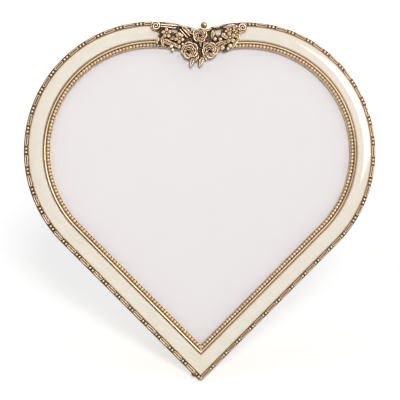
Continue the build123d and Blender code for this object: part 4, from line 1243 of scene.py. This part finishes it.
def sight(tree, space):
    """Whether a ray is the camera's, whether metal or glass sends it, and its place."""
    path = tree.nodes.new("ShaderNodeLightPath").outputs
    shown = maths(tree, "MAXIMUM", path["Is Glossy Ray"], path["Is Transmission Ray"])
    coords = tree.nodes.new("ShaderNodeTexCoord")
    parts = tree.nodes.new("ShaderNodeSeparateXYZ")
    tree.links.new(coords.outputs[space], parts.inputs["Vector"])
    return path["Is Camera Ray"], shown, parts


key = soft_light("key", (-0.1, -4.4, 1.5), distance=3.0, size=(0.3, 0.3), power=60.0)
key.visible_glossy = False
panel = soft_light("side_panel", (0.605, -0.673, 0.425), distance=0.9, size=(0.55, 0.48), power=4.4)
panel.visible_diffuse = False
soft_light("top_box", (-0.25, -0.45, 1.0), distance=0.9, size=(0.8, 0.5), power=0.7)

AMBIENT = 0.27
# White seen in metal and glass: straight ahead, and what right and up add
MIRRORED_WHITE = 0.92
MIRRORED_RIGHT = 0.65
MIRRORED_UP = 0.45
world = bpy.data.worlds.new("studio")
scene.world = world
world.use_nodes = True
tree = world.node_tree
background = tree.nodes["Background"]
fill(background, Color=(1, 1, 1, 1))
to_camera, shown, parts = sight(tree, "Generated")
rightward = maths(tree, "MULTIPLY_ADD", parts.outputs["X"], MIRRORED_RIGHT, MIRRORED_WHITE)
upward = maths(tree, "MULTIPLY_ADD", parts.outputs["Z"], MIRRORED_UP, rightward)
mirrored = maths(tree, "SUBTRACT", upward, AMBIENT)
span = maths(tree, "MULTIPLY_ADD", shown, mirrored, AMBIENT)
span = maths(tree, "MULTIPLY_ADD", to_camera, 1 - AMBIENT, span)
tree.links.new(span, background.inputs["Strength"])

# Half the floor's size and the radius of its bend, in metres
ROOM = 4.0
BEND = 0.8
BEND_START = 0.1
BEND_STEPS = 12
FLOOR_WHITE = (0.86, 0.86, 0.86)
FLOOR_ROUGHNESS = 0.9
FLOOR_SHINE = 0.1
# Farther back the lamps reach the floor less, and its own white takes over
FLOOR_GLOW = 0.55
GLOW_GAIN = 0.35
GLOW_START = 0.25
GLOW_DEPTH = 1.2
profile = [(-ROOM, 0.0), (ROOM - BEND, 0.0)]
profile += [
    (ROOM - BEND + BEND * sin(t), BEND - BEND * cos(t))
    for t in np.linspace(BEND_START, pi / 2, BEND_STEPS)
]
profile.append((ROOM, ROOM))
points = [(x, y, z) for y, z in profile for x in (-ROOM, ROOM)]
floor_mesh = bpy.data.meshes.new("floor")
faces = [(2 * k, 2 * k + 1, 2 * k + 3, 2 * k + 2) for k in range(len(profile) - 1)]
floor_mesh.from_pydata(points, [], faces)
floor_mesh.polygons.foreach_set("use_smooth", [True] * len(floor_mesh.polygons))
floor = add("floor", floor_mesh)
mat, tree, shader = plain("floor_white", FLOOR_WHITE, FLOOR_ROUGHNESS)
fill(shader, Specular_IOR_Level=FLOOR_SHINE)
out = tree.nodes["Material Output"]
glow = tree.nodes.new("ShaderNodeEmission")
fill(glow, Color=(1, 1, 1, 1))
to_camera, shown, parts = sight(tree, "Object")
seen = maths(tree, "MAXIMUM", to_camera, shown)
start = -GLOW_START / GLOW_DEPTH
beyond = maths(tree, "MULTIPLY_ADD", parts.outputs["Y"], 1 / GLOW_DEPTH, start, clamp=True)
strength = maths(tree, "MULTIPLY_ADD", beyond, GLOW_GAIN, FLOOR_GLOW)
tree.links.new(maths(tree, "MULTIPLY", seen, strength), glow.inputs["Strength"])
total = tree.nodes.new("ShaderNodeAddShader")
tree.links.new(shader.outputs[0], total.inputs[0])
tree.links.new(glow.outputs[0], total.inputs[1])
tree.links.new(total.outputs[0], out.inputs["Surface"])
floor_mesh.materials.append(mat)

scene.view_settings.view_transform = "Standard"
